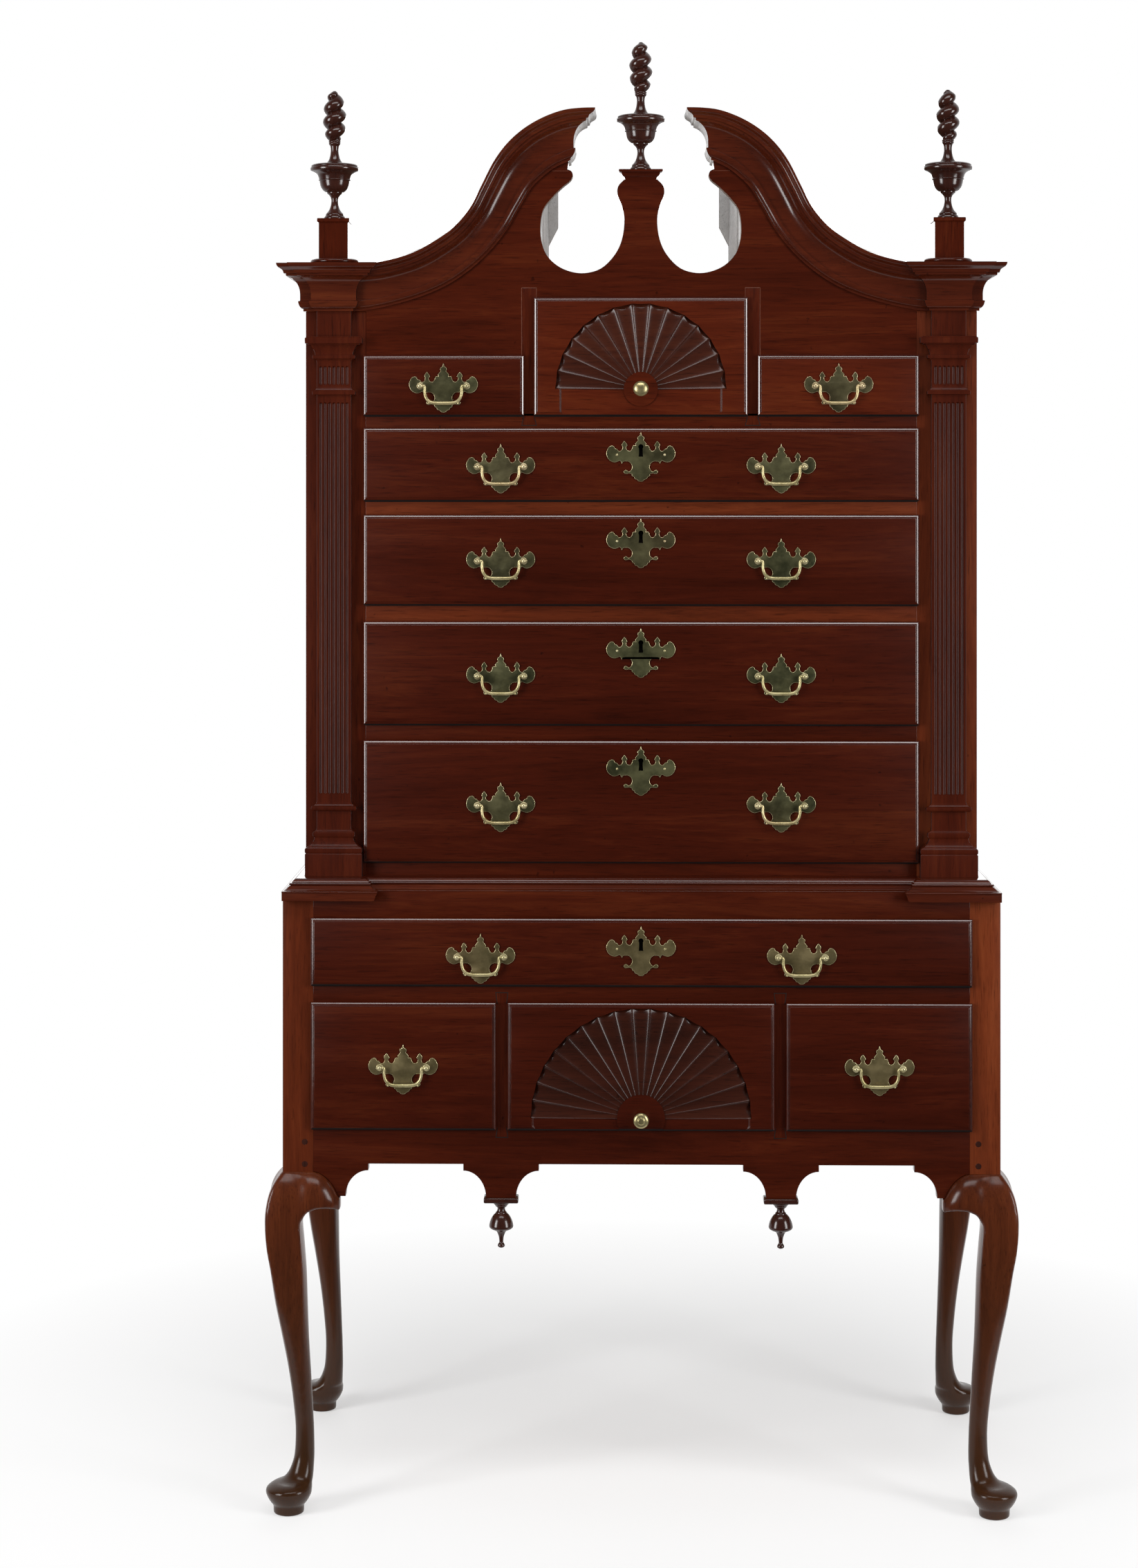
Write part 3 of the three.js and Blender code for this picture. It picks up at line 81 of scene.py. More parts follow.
gloss = {
    "waxed": {"specular": 0.26, "coat": 0.0, "roughness": (0.15, 0.27), "bump": 0.06},
    "lip": {"specular": 0.78, "coat": 0.4, "roughness": (0.14, 0.24), "bump": 0.03},
    "mould": {"specular": 0.42, "coat": 0.12, "roughness": (0.15, 0.24), "bump": 0.05},
    "dull": {"specular": 0.16, "coat": 0.0, "roughness": (0.26, 0.38), "bump": 0.05},
    "shank": {"specular": 0.26, "coat": 0.0, "roughness": (0.17, 0.25), "bump": 0.02},
    "turned": {"specular": 0.50, "coat": 0.0, "roughness": (0.14, 0.21), "bump": 0.01},
    "carved": {"specular": 0.34, "coat": 0.0, "roughness": (0.20, 0.30), "bump": 0.02},
    "bare": {"specular": 0.25, "coat": 0.0, "roughness": (0.62, 0.85), "bump": 0.35},
}
woodLook = {
    "scale": (13.0, 0.9), "poreScale": (520.0, 26.0), "bend": 1.3, "stops": (0.33, 0.52, 0.70),
    "broad": 0.27, "bands": 0.40, "streaks": 0.34,
    "pores": (0.56, 0.72, 0.0, 0.55), "knocks": (0.73, 0.79, 0.0, 0.60), "rubs": (0.66, 0.80, 0.0, 0.30),
    "soil": (0.023, 0.0115, 0.0045), "lowTintShare": 0.80, "coatRoughness": 0.12, "bumpDepth": 0.0006,
}
metalLook = {
    "stops": (0.36, 0.66), "warm": (0.50, 0.66, 0.0, 0.28), "warmth": (1.05, 0.72, 0.80),
    "bump": 0.12, "bumpDepth": 0.0002,
}


def addNode(tree, kind, **settings):
    node = tree.nodes.new(kind)
    for name, value in settings.items():
        if name in node.inputs:
            node.inputs[name].default_value = value
        else:
            setattr(node, name, value)
    return node


def link(tree, source, output, target, socket):
    tree.links.new(source.outputs[output], target.inputs[socket])


def fed(tree, source, output, kind, socket, **settings):
    node = addNode(tree, kind, **settings)
    link(tree, source, output, node, socket)
    return node


def noise(tree, source, output, **settings):
    return fed(tree, source, output, "ShaderNodeTexNoise", "Vector", **settings)


def newMaterial(name):
    material = bpy.data.materials.new(name)
    material.use_nodes = True
    tree = material.node_tree
    tree.nodes.clear()
    shader = addNode(tree, "ShaderNodeBsdfPrincipled")
    surface = addNode(tree, "ShaderNodeOutputMaterial")
    link(tree, shader, "BSDF", surface, "Surface")
    return material, tree, shader


def colourRamp(tree, source, output, stops):
    ramp = fed(tree, source, output, "ShaderNodeValToRGB", "Fac")
    elements = ramp.color_ramp.elements
    while len(elements) < len(stops):
        elements.new(0.5)
    for element, (position, colour) in zip(elements, stops):
        element.position = position
        element.color = (*colour, 1)
    return ramp


def rangeNode(tree, source, output, limits):
    node = fed(tree, source, output, "ShaderNodeMapRange", "Value")
    for name, value in zip(("From Min", "From Max", "To Min", "To Max"), limits):
        node.inputs[name].default_value = value
    return node


def bumpNode(tree, source, output, shader, strength, distance):
    bump = fed(tree, source, output, "ShaderNodeBump", "Height", Strength=strength, Distance=distance)
    link(tree, bump, "Normal", shader, "Normal")


def tinted(tree, share, colour, output, tint):
    mixed = fed(tree, share, "Result", "ShaderNodeMix", 0, data_type="RGBA")
    link(tree, colour, output, mixed, 6)
    mixed.inputs[7].default_value = (*tint, 1)
    return mixed


def makeWood(name, tone, grain, shift, finish="waxed", lowTinted=None):
    dark, _, light = woodTones[tone]
    sheen, look = gloss[finish], woodLook
    material, tree, shader = newMaterial(name)
    place = addNode(tree, "ShaderNodeTexCoord")
    maps = []
    for across, along in (look["scale"], look["poreScale"]):
        scale = [across] * 3
        scale["XYZ".index(grain)] = along
        maps.append(fed(tree, place, "Object", "ShaderNodeMapping", "Vector", Location=shift, Scale=scale))
    grainMap, poreMap = maps
    waves = noise(tree, grainMap, "Vector", Scale=0.9, Detail=2.0, Roughness=0.5)
    bend = fed(tree, waves, "Color", "ShaderNodeVectorMath", 0, operation="SCALE", Scale=look["bend"])
    bent = fed(tree, grainMap, "Vector", "ShaderNodeVectorMath", 0, operation="ADD")
    link(tree, bend, 0, bent, 1)
    bands = noise(tree, bent, 0, Scale=1.1, Detail=5.0, Roughness=0.62, Distortion=0.4)
    streaks = noise(tree, bent, 0, Scale=9.0, Detail=5.0, Roughness=0.7)
    broad = noise(tree, place, "Object", Scale=2.2, Detail=2.0, Roughness=0.5)
    total = fed(tree, broad, "Fac", "ShaderNodeMath", 0, operation="MULTIPLY")
    total.inputs[1].default_value = look["broad"]
    for source, share in ((bands, look["bands"]), (streaks, look["streaks"])):
        addition = fed(tree, source, "Fac", "ShaderNodeMath", 0, operation="MULTIPLY_ADD")
        addition.inputs[1].default_value = share
        link(tree, total, 0, addition, 2)
        total = addition
    colour, output = colourRamp(tree, total, 0, list(zip(look["stops"], woodTones[tone]))), "Color"
    # open pores along the grain, small dark knocks, and pale rubbed patches
    pores = noise(tree, poreMap, "Vector", Scale=1.0, Detail=2.0, Roughness=0.6)
    knocks = noise(tree, place, "Object", Scale=85.0, Detail=2.0, Roughness=0.5)
    rubs = noise(tree, grainMap, "Vector", Scale=17.0, Detail=6.0, Roughness=0.75, Distortion=1.2)
    for source, limits, tint in ((pores, look["pores"], [v * 0.55 for v in dark]),
                                 (knocks, look["knocks"], [v * 0.4 for v in dark]),
                                 (rubs, look["rubs"], [v * 1.3 + 0.012 for v in light])):
        share = rangeNode(tree, source, "Fac", limits)
        colour, output = tinted(tree, share, colour, output, tint), 2
    # darker towards the bottom, between the two given heights
    if lowTinted:
        height = fed(tree, place, "Object", "ShaderNodeSeparateXYZ", "Vector")
        share = rangeNode(tree, height, "Z", (*lowTinted, look["lowTintShare"], 0.0))
        colour = tinted(tree, share, colour, output, look["soil"])
    link(tree, colour, output, shader, "Base Color")
    rough = rangeNode(tree, bands, "Fac", (0.0, 1.0, *sheen["roughness"]))
    link(tree, rough, "Result", shader, "Roughness")
    bumpNode(tree, total, 0, shader, sheen["bump"], look["bumpDepth"])
    shader.inputs["Specular IOR Level"].default_value = sheen["specular"]
    shader.inputs["Coat Weight"].default_value = sheen["coat"]
    shader.inputs["Coat Roughness"].default_value = look["coatRoughness"]
    return material


def makeMetal(name, low, high, roughness, metallic=1.0, cloudScale=55.0):
    look = metalLook
    material, tree, shader = newMaterial(name)
    place = addNode(tree, "ShaderNodeTexCoord")
    clouds = noise(tree, place, "Object", Scale=cloudScale, Detail=5.0, Roughness=0.6)
    ramp = colourRamp(tree, clouds, "Fac", list(zip(look["stops"], (low, high))))
    # some of the brass has aged to a warmer brown
    broad = noise(tree, place, "Object", Scale=3.4, Detail=1.0)
    warm = rangeNode(tree, broad, "Fac", look["warm"])
    aged = tinted(tree, warm, ramp, "Color", [part * change for part, change in zip(high, look["warmth"])])
    link(tree, aged, 2, shader, "Base Color")
    rough = rangeNode(tree, clouds, "Fac", (0.2, 0.8, *roughness))
    link(tree, rough, "Result", shader, "Roughness")
    scratches = noise(tree, place, "Object", Scale=700.0, Detail=3.0)
    bumpNode(tree, scratches, "Fac", shader, look["bump"], look["bumpDepth"])
    shader.inputs["Metallic"].default_value = metallic
    return material


frontWood = makeWood("frontWood", "case", "X", (0.3, 0, 1.7))
uprightWood = makeWood("uprightWood", "case", "Z", (2.1, 0, 0.4))
mouldWood = makeWood("mouldWood", "mould", "X", (1.9, 0, 3.1), "mould")
pilasterWood = makeWood("pilasterWood", "case", "Z", (2.1, 0, 0.4), "dull")
wornWood = makeWood("wornWood", "worn", "X", (3.0, 0, 0.7), "dull")
shadeWood = makeWood("shadeWood", "shade", "Z", (1.2, 0, 2.6), "dull")
grimeWood = makeWood("grimeWood", "grime", "X", (0.6, 0, 0.8), "bare")
railWood = makeWood("railWood", "upright", "X", (4.1, 0, 2.3))
postWood = makeWood("postWood", "upright", "Z", (3.3, 0, 1.1))
sunnedWood = makeWood("sunnedWood", "sunned", "Z", (0.4, 0, 2.9))
sideWood = makeWood("sideWood", "case", "Z", (5.2, 1.1, 0))
lowerSideWood = makeWood("lowerSideWood", "case", "Y", (0, 3.1, 0.8))
legWood = makeWood("legWood", "leg", "Z", (0.9, 0.2, 1.4), "shank", (0.08, 0.46))
turnedWood = makeWood("turnedWood", "turned", "Z", (0.5, 0.8, 0), "turned")
carvedWood = makeWood("carvedWood", "carved", "X", (1.5, 0, 0.6), "carved")
lipWood = makeWood("lipWood", "drawer", "X", (0.8, 0, 2.2), "lip")
pineLong = makeWood("pineLong", "pine", "X", (0.2, 0.4, 0), "bare")
pineDeep = makeWood("pineDeep", "pine", "Y", (0.7, 0, 0.9), "bare")
roofWood = makeWood("roofWood", "roof", "Y", (0.4, 0, 0.3), "bare")
dustyWood = makeWood("dustyWood", "dusty", "Y", (0.9, 0, 0.2), "bare")
backWood = makeWood("backWood", "roof", "Z", (1.1, 0, 0.8), "bare")
paleBoard = makeWood("paleBoard", "board", "Z", (2.6, 0, 1.9), "bare")
plateBrass = makeMetal("plateBrass", (0.038, 0.039, 0.017), (0.125, 0.120, 0.055), (0.26, 0.42), 0.6, 30.0)
agedPlate = makeMetal("agedPlate", (0.105, 0.083, 0.036), (0.215, 0.170, 0.080), (0.26, 0.42), 0.6, 30.0)
edgeBrass = makeMetal("edgeBrass", (0.36, 0.31, 0.15), (0.62, 0.56, 0.33), (0.20, 0.32), 0.55)
bailBrass = makeMetal("bailBrass", (0.34, 0.29, 0.13), (0.56, 0.49, 0.26), (0.22, 0.34), 0.6)
knobBrass = makeMetal("knobBrass", (0.26, 0.22, 0.10), (0.50, 0.43, 0.22), (0.26, 0.38), 0.85)
oldIron = makeMetal("oldIron", (0.010, 0.009, 0.008), (0.045, 0.037, 0.030), (0.45, 0.7))
print("materials")

# Curves and shapes


def splinePoint(points, share):
    last = len(points) - 1
    index = min(int(share * last), last - 1)
    weight = share * last - index
    near = [Vector(points[index]), Vector(points[index + 1])]
    before = Vector(points[index - 1]) if index else 2 * near[0] - near[1]
    after = Vector(points[index + 2]) if index + 2 <= last else 2 * near[1] - near[0]
    line = [before, *near, after]
    gaps = [(b - a).length ** 0.5 or 1.0 for a, b in zip(line, line[1:])]
    slopes = [
        ((line[k] - line[k - 1]) / gaps[k - 1] - (line[k + 1] - line[k - 1]) / (gaps[k - 1] + gaps[k])
         + (line[k + 1] - line[k]) / gaps[k]) * gaps[1]
        for k in (1, 2)
    ]
    square, cube = weight ** 2, weight ** 3
    return (near[0] * (2 * cube - 3 * square + 1) + near[1] * (3 * square - 2 * cube)
            + slopes[0] * (cube - 2 * square + weight) + slopes[1] * (cube - square))


def smoothLine(points, steps=4):
    count = (len(points) - 1) * steps
    return [tuple(splinePoint(points, step / count)) for step in range(count + 1)]


def arcPoints(cx, cz, radius, start, end, steps):
    angles = [radians(start + (end - start) * step / steps) for step in range(steps + 1)]
    return [(cx + radius * cos(a), cz + radius * sin(a)) for a in angles]


def mirroredLine(points):
    return [(-x, z) for x, z in reversed(points)]


def placed(name, data):
    item = bpy.data.objects.new(name, data)
    bpy.context.scene.collection.objects.link(item)
    return item


def painted(shape, finish):
    for face in shape.faces:
        face.material_index = finish
    return shape


def loft(rings, closed=True, finish=0):
    shape = bmesh.new()
    line = [shape.verts.new(point) for point in rings[0]]
    pairs = list(zip(line, line[1:]))
    if closed:
        pairs.append((line[-1], line[0]))
    edges = [shape.edges.new(pair) for pair in pairs]
    ends = [edges]
    for ring in rings[1:]:
        grown = bmesh.ops.extrude_edge_only(shape, edges=edges)["geom"]
        fresh = {item for item in grown if isinstance(item, bmesh.types.BMVert)}
        line = [next(e.other_vert(v) for e in v.link_edges if e.other_vert(v) in fresh) for v in line]
        for vert, point in zip(line, ring):
            vert.co = point
        edges = [e for e in grown if isinstance(e, bmesh.types.BMEdge) and set(e.verts) <= fresh]
    ends.append(edges)
    for end in ends:
        bmesh.ops.contextual_create(shape, geom=end)
    return painted(shape, finish)


def rounded(shape, edges, offset, segments=2, clamp=True):
    result = bmesh.ops.bevel(shape, geom=edges, offset=offset, segments=segments, profile=0.5, affect="EDGES",
                             material=-1, clamp_overlap=clamp)
    return result["faces"]


def board(x0, x1, y0, y1, z0, z1, edge=0.6, finish=0):
    size = Matrix.Diagonal((x1 - x0, y1 - y0, z1 - z0, 1))
    middle = Matrix.Translation(((x0 + x1) / 2, (y0 + y1) / 2, (z0 + z1) / 2))
    shape = bmesh.new()
    bmesh.ops.create_cube(shape, size=1, matrix=middle @ size)
    if edge:
        rounded(shape, shape.edges[:], edge, clamp=False)
    return painted(shape, finish)


def sideSpan(side, inner, outer):
    return sorted((side * inner, side * outer))


def prism(rings, edge, finish):
    shape = loft(rings, finish=finish)
    if edge:
        caps = sorted(shape.faces, key=lambda face: len(face.verts))[-2:]
        rounded(shape, list({e for cap in caps for e in cap.edges}), edge)
    return painted(shape, finish)


def frontPrism(points, y0, y1, edge=0.5, finish=0):
    return prism([[(x, y, z) for x, z in points] for y in (y0, y1)], edge, finish)


def sidePrism(points, x0, x1, edge=0.5, finish=0):
    return prism([[(x, y, z) for y, z in points] for x in (x0, x1)], edge, finish)


def turned(profile, steps, place=Matrix(), finish=0):
    shape = bmesh.new()
    line = [shape.verts.new((radius, 0, height)) for radius, height in profile]
    edges = [shape.edges.new(pair) for pair in zip(line, line[1:])]
    bmesh.ops.spin(shape, geom=line + edges, cent=(0, 0, 0), axis=(0, 0, 1), angle=tau, steps=steps,
                   use_merge=True)
    bmesh.ops.remove_doubles(shape, verts=shape.verts, dist=0.005)
    bmesh.ops.transform(shape, matrix=place, verts=shape.verts)
    return painted(shape, finish)


def facing(x, y, z):
    return Matrix.Translation((x, y, z)) @ Matrix.Rotation(pi / 2, 4, "X")


def standing(x, y, z):
    return Matrix.Translation((x, y, z))


def mirrorShape(shape):
    bmesh.ops.transform(shape, matrix=Matrix.Scale(-1, 4, (1, 0, 0)), verts=shape.verts)
    bmesh.ops.reverse_faces(shape, faces=shape.faces)
    return shape


def moveShape(shape, x, y, z):
    bmesh.ops.translate(shape, verts=shape.verts, vec=(x, y, z))
    return shape


def mergeShapes(shapes):
    whole = bmesh.new()
    for shape in shapes:
        carrier = bpy.data.meshes.new("carrier")
        shape.to_mesh(carrier)
        shape.free()
        whole.from_mesh(carrier)
        bpy.data.meshes.remove(carrier)
    return whole


def applied(shape, kind, tool=None, **settings):
    tools = []
    for item in (shape, tool):
        if item is None:
            continue
        bmesh.ops.recalc_face_normals(item, faces=item.faces)
        mesh = bpy.data.meshes.new("worked")
        item.to_mesh(mesh)
        item.free()
        # four empty slots keep the faces' finishes
        for _ in range(4):
            mesh.materials.append(None)
        tools.append(placed("worked", mesh))
    modifier = tools[0].modifiers.new("work", kind)
    for name, value in settings.items():
        setattr(modifier, name, value)
    if len(tools) > 1:
        modifier.object = tools[1]
    graph = bpy.context.evaluated_depsgraph_get()
    result = bmesh.new()
    result.from_mesh(tools[0].evaluated_get(graph).to_mesh())
    for worked in tools:
        mesh = worked.data
        bpy.data.objects.remove(worked)
        bpy.data.meshes.remove(mesh)
    return result


def carve(shape, cutter):
    return applied(shape, "BOOLEAN", tool=cutter, operation="DIFFERENCE", solver="EXACT")


def addPiece(name, shapes, materials, nodes=(), body="case", angle=32):
    whole = mergeShapes(shapes)
    bmesh.ops.recalc_face_normals(whole, faces=whole.faces)
    bmesh.ops.transform(whole, matrix=toFrame, verts=whole.verts)
    mesh = bpy.data.meshes.new(name)
    whole.to_mesh(mesh)
    whole.free()
    for material in materials:
        mesh.materials.append(material)
    mesh.shade_smooth()
    mesh.set_sharp_from_angle(angle=radians(angle))
    piece = placed(name, mesh)
    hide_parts(*nodes)
    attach(piece, body)


# Swan neck lines

swan = {
    "rise": 231.4, "start": 435.8, "endOffset": 109.0, "reach": 40.6, "cornice": 70.7,
    "returnDepth": 66.0, "returnSplay": 1.5, "mitreReach": 40.0,
    "pilaster": 461.8, "shaftHalf": 26.0, "breakFace": 22.5, "setDown": 2.0, "wall": 150.0, "stations": 56,
    "edges": [
        (-0.95, 0, -0.95, 0), (-0.85, 0, -0.85, 0.001), (-0.783, 0.002, -0.762, 0.031),
        (-0.682, 0.058, -0.634, 0.115), (-0.618, 0.13, -0.551, 0.206), (-0.552, 0.232, -0.467, 0.353),
        (-0.504, 0.357, -0.401, 0.526), (-0.473, 0.491, -0.363, 0.669), (-0.432, 0.664, -0.323, 0.81),
        (-0.391, 0.78, -0.294, 0.872), (-0.343, 0.87, -0.261, 0.928), (-0.287, 0.939, -0.225, 0.967),
        (-0.23, 0.983, -0.194, 0.993), (-0.181, 0.997, -0.166, 1.01), (-0.12, 1, -0.12, 1.027),
    ],
}
swanLines = [
    [(row[column] * case["upperHalf"], base + row[column + 1] * swan["rise"]) for row in swan["edges"]]
    for column, base in ((2, case["stileTop"]), (0, case["corniceTop"]))
]


def swanPoint(share, height):
    inner, outer = (splinePoint(line, share) for line in swanLines)
    return inner.lerp(outer, height)


def swanShare(x, height):
    low, high = 0.0, 1.0
    for _ in range(28):
        middle = (low + high) / 2
        if swanPoint(middle, height).x < x:
            low = middle
        else:
            high = middle
    return (low + high) / 2


def swanTop(xEnd, steps):
    start, end = swanShare(-swan["start"] + swan["reach"], 1), swanShare(xEnd, 1)
    points = [swanPoint(start + (end - start) * step / steps, 1) for step in range(steps + 1)]
    lead = [(-case["upperHalf"], case["corniceTop"] - swan["setDown"])]
    return lead + [(p.x, p.y - swan["setDown"]) for p in points]


def mitred(path, index, reach):
    normals = []
    for start in (index - 1, index):
        if 0 <= start < len(path) - 1:
            step = Vector(path[start + 1]) - Vector(path[start])
            normals.append(Vector((step.y, -step.x)).normalized())
    first, second = normals[0], normals[-1]
    return Vector(path[index]) + (first + second) * reach / (1 + first.dot(second))


def mitredRings(path, count, profile, reach, foot, height):
    return [[(*mitred(path, index, out * reach), foot + up * height) for out, up in profile] for index in range(count)]


# Scroll board, cornices, pilasters and finials

corniceProfile = [
    (0, 0), (0.085, 0), (0.085, 0.045),
    *smoothLine([(0.09, 0.05), (0.16, 0.07), (0.225, 0.12), (0.262, 0.19)], 3),
    (0.262, 0.212), (0.2, 0.222),
    *smoothLine([(0.196, 0.25), (0.2, 0.4), (0.232, 0.5), (0.3, 0.588), (0.4, 0.657), (0.54, 0.711),
                 (0.668, 0.738)], 4),
    (0.672, 0.782), (0.745, 0.788),
    *smoothLine([(0.75, 0.798), (0.782, 0.85), (0.86, 0.885), (0.94, 0.917), (0.985, 0.955), (1, 1)], 4),
    (0, 1),
]


def corniceShape():
    half, face, brk = case["upperHalf"], case["upperFace"], swan["breakFace"]
    outer, inner = swan["pilaster"] + swan["shaftHalf"], swan["start"]
    path = [(-half, case["depth"]), (-half, face), (-outer, face), (-outer, brk), (-inner, brk),
            (-inner, face), (0, face)]
    rings = mitredRings(path, len(path) - 1, corniceProfile, swan["reach"], case["stileTop"], swan["cornice"])
    ends = []
    for reach, height in corniceProfile:
        offset = reach * swan["reach"]
        ends.append((swanShare(-swan["start"] + offset, height), swanShare(-swan["endOffset"] + offset, height)))
    for station in range(1, swan["stations"] + 1):
        ring = []
        for (reach, height), (start, end) in zip(corniceProfile, ends):
            point = swanPoint(start + (end - start) * station / swan["stations"], height)
            ring.append((point.x, face - reach * swan["reach"], point.y))
        rings.append(ring)
    end = face + swan["returnDepth"]
    rings.append([(x + swan["returnSplay"] * reach, end, z)
                  for (x, _, z), (reach, _) in zip(rings[-1], corniceProfile)])
    shape = loft(rings)
    shape.normal_update()
    for side in shape.faces:
        middle = side.calc_center_median()
        if middle.x > -swan["wall"] and max(vert.co.y for vert in side.verts) > end - 0.1:
            side.material_index = 2
        # the cornice's sideways returns near the mitres take the painted shade
        if abs(side.normal.x) > 0.6 and middle.y < face and middle.x < -inner + swan["mitreReach"]:
            side.material_index = 1
    return shape


finialPlinth = {
    "y": 34.5, "half": 21.8, "height": 60.5, "padRadius": 36.0, "padHeight": 8.0, "cap": 6.4, "capReach": 2.4,
}


def squareLoft(x, y, levels, finish=0):
    rings = [[(x - h, y - h, z), (x + h, y - h, z), (x + h, y + h, z), (x - h, y + h, z)] for h, z in levels]
    return loft(rings, finish=finish)


def finialPlinthShapes(side):
    p = finialPlinth
    x, base = side * swan["pilaster"], case["corniceTop"]
    padTop = base + p["padHeight"]
    top = padTop + p["height"]
    pad = turned([(0, base), (p["padRadius"] - 1.5, base),
                  *arcPoints(p["padRadius"] - 3, base + 4, 3.6, -80, 80, 6), (0, padTop)], 48,
                 standing(x, p["y"], 0))
    half, reach = p["half"], p["capReach"]
    levels = [(half, padTop - 1), (half, top - p["cap"] - 1.5), (half + 0.6, top - p["cap"]),
              (half + reach, top - p["cap"] + 1.2), (half + reach, top - 0.8), (half + reach - 0.8, top)]
    return [pad, squareLoft(x, p["y"], levels)]


for side, word in sides:
    moulding = corniceShape()
    core = board(-swan["pilaster"] - swan["shaftHalf"], -swan["start"], swan["breakFace"], case["upperFace"],
                 case["stileTop"], case["corniceTop"] + swan["setDown"], 0)
    shapes = [moulding, core]
    if side > 0:
        shapes = [mirrorShape(shape) for shape in shapes]
    addPiece(f"cornice{word.title()}", shapes, [mouldWood, shadeWood, dustyWood], [f"cornice_{word}"])
    addPiece(f"finialPlinth{word.title()}", finialPlinthShapes(side), [uprightWood])
print("cornices")

scroll = {
    "opening": [
        (-0.735, 0.925), (-0.697, 0.912), (-0.683, 0.89), (-0.694, 0.864), (-0.72, 0.845), (-0.78, 0.814),
        (-0.891, 0.742), (-0.975, 0.67), (-1.006, 0.582), (-1.003, 0.475), (-0.947, 0.369), (-0.836, 0.297),
        (-0.699, 0.258), (-0.561, 0.249), (-0.4, 0.279), (-0.26, 0.369), (-0.19, 0.466), (-0.165, 0.6),
        (-0.19, 0.688), (-0.235, 0.765), (-0.225, 0.815), (-0.165, 0.858),
    ],
    "fanTop": 1820.5, "smallTop": 1733.5, "dividerInner": 157.2, "dividerOuter": 179.4,
    "stileInner": 414.2, "plinthTop": 2002.0, "capHalf": 33.0, "capReach": 10.0, "capHeight": 14.5,
    "edgeSpan": (1850, 2010), "edgeInner": 90,
    "seams": [(108.5, 134, 2014.6, 2015.1), (179.3, 179.9, 1725, 1839.3), (157.0, 179.9, 1838.7, 1839.3),
              (156.9, 157.4, 1822, 1838.7)],
}


def scrollBoardShapes():
    s, top = scroll, case["stileTop"]
    opening = [(x * swan["wall"], top + z * swan["rise"]) for x, z in s["opening"]]
    left = [
        (-s["dividerInner"], s["fanTop"]), (-s["dividerInner"], case["dividerTop"]),
        (-s["dividerOuter"], case["dividerTop"]), (-s["dividerOuter"], s["smallTop"]),
        (-s["stileInner"], s["smallTop"]), (-s["stileInner"], top + 0.2), (-case["upperHalf"], top + 0.2),
        *swanTop(-swan["endOffset"] - 0.3, 48),
        (-0.727 * swan["wall"], top + 0.965 * swan["rise"]),
        *smoothLine(opening, 4),
    ]
    face = frontPrism(left + mirroredLine(left), case["upperFace"], case["upperFaceBack"], edge=0)
    half, reach = s["capHalf"] - s["capReach"], s["capReach"]
    profile = [(0, -0.1), *smoothLine([(0.1, 0.1), (0.2, 0.24), (0.42, 0.34), (0.56, 0.5), (0.62, 0.68)], 3),
               (0.92, 0.72), (1, 0.78), (1, 0.95), (0.94, 1)]
    rings = []
    for out, height in profile:
        x, y0, y1 = half + out * reach, case["upperFace"] - out * reach, case["upperFaceBack"] + out * reach
        z = s["plinthTop"] + height * s["capHeight"]
        rings.append([(-x, y0, z), (x, y0, z), (x, y1, z), (-x, y1, z)])
    low, high = s["edgeSpan"]
    for side in face.faces:
        middle = side.calc_center_median()
        if abs(side.normal.y) < 0.5 and low < middle.z < high and abs(middle.x) > s["edgeInner"]:
            side.material_index = 1
    y0, y1 = case["upperFace"] - 0.06, case["upperFace"] + 1
    seams = [board(*sideSpan(side, *span), y0, y1, z0, z1, 0, 2) for side in (-1, 1) for *span, z0, z1 in s["seams"]]
    return [face, loft(rings), *seams]


addPiece("scrollBoard", scrollBoardShapes(), [frontWood, backWood, wornWood], ["scroll_board"])

pilasterProfile = {
    "base": [
        (0, 0.99), (0.405, 0.99), (0.412, 0.93),
        *smoothLine([(0.418, 0.9), (0.428, 0.985), (0.447, 1.0), (0.466, 0.985), (0.477, 0.9)], 3),
        *smoothLine([(0.482, 0.86), (0.492, 0.727), (0.51, 0.52), (0.533, 0.378), (0.56, 0.26), (0.588, 0.2)], 3),
        *smoothLine([(0.594, 0.22), (0.606, 0.3), (0.632, 0.35), (0.655, 0.3), (0.664, 0.2)], 3),
        *smoothLine([(0.669, 0.12), (0.682, 0.04), (0.697, 0)], 3),
        (0.894, 0), (0.898, 0.3),
        *smoothLine([(0.903, 0.4), (0.924, 0.49), (0.946, 0.44)], 3),
        *smoothLine([(0.95, 0.3), (0.972, 0.1), (1, 0)], 3),
    ],
    "capital": [
        (0.002, 0), (0.005, 0.36), (0.04, 0.38), (0.046, 0.3),
        *smoothLine([(0.05, 0.26), (0.066, 0.1), (0.09, 0)], 3),
        (0.379, 0), *smoothLine([(0.385, 0.0), (0.41, 0.04), (0.431, 0.15)], 3),
        (0.434, 0.34), (0.453, 0.38), (0.473, 0.34), (0.476, 0.15),
        *smoothLine([(0.502, 0.163), (0.54, 0.28), (0.575, 0.42), (0.596, 0.52)], 3),
        (0.598, 0.75), (0.61, 0.773), (0.614, 0.98), (0.65, 1), (0.678, 0.99),
        (0.684, 0.9), (0.696, 0.78), (0.699, 0), (1, 0),
    ],
    "out": 17.2, "reach": 9.0, "baseHeight": 132.2, "capitalHeight": 126.1,
}
flute = {"count": 7, "pitch": 6.6, "radius": 2.54, "forward": 0.44, "margin": 11.0, "short": (0.115, 0.346)}


def fluteCutter(x, bottom, top):
    r = flute["radius"]
    profile = arcPoints(0, bottom + r, r, -90, 0, 5) + arcPoints(0, top - r, r, 0, 90, 5)
    return turned(profile, 20, standing(x, swan["breakFace"] - flute["forward"], 0))


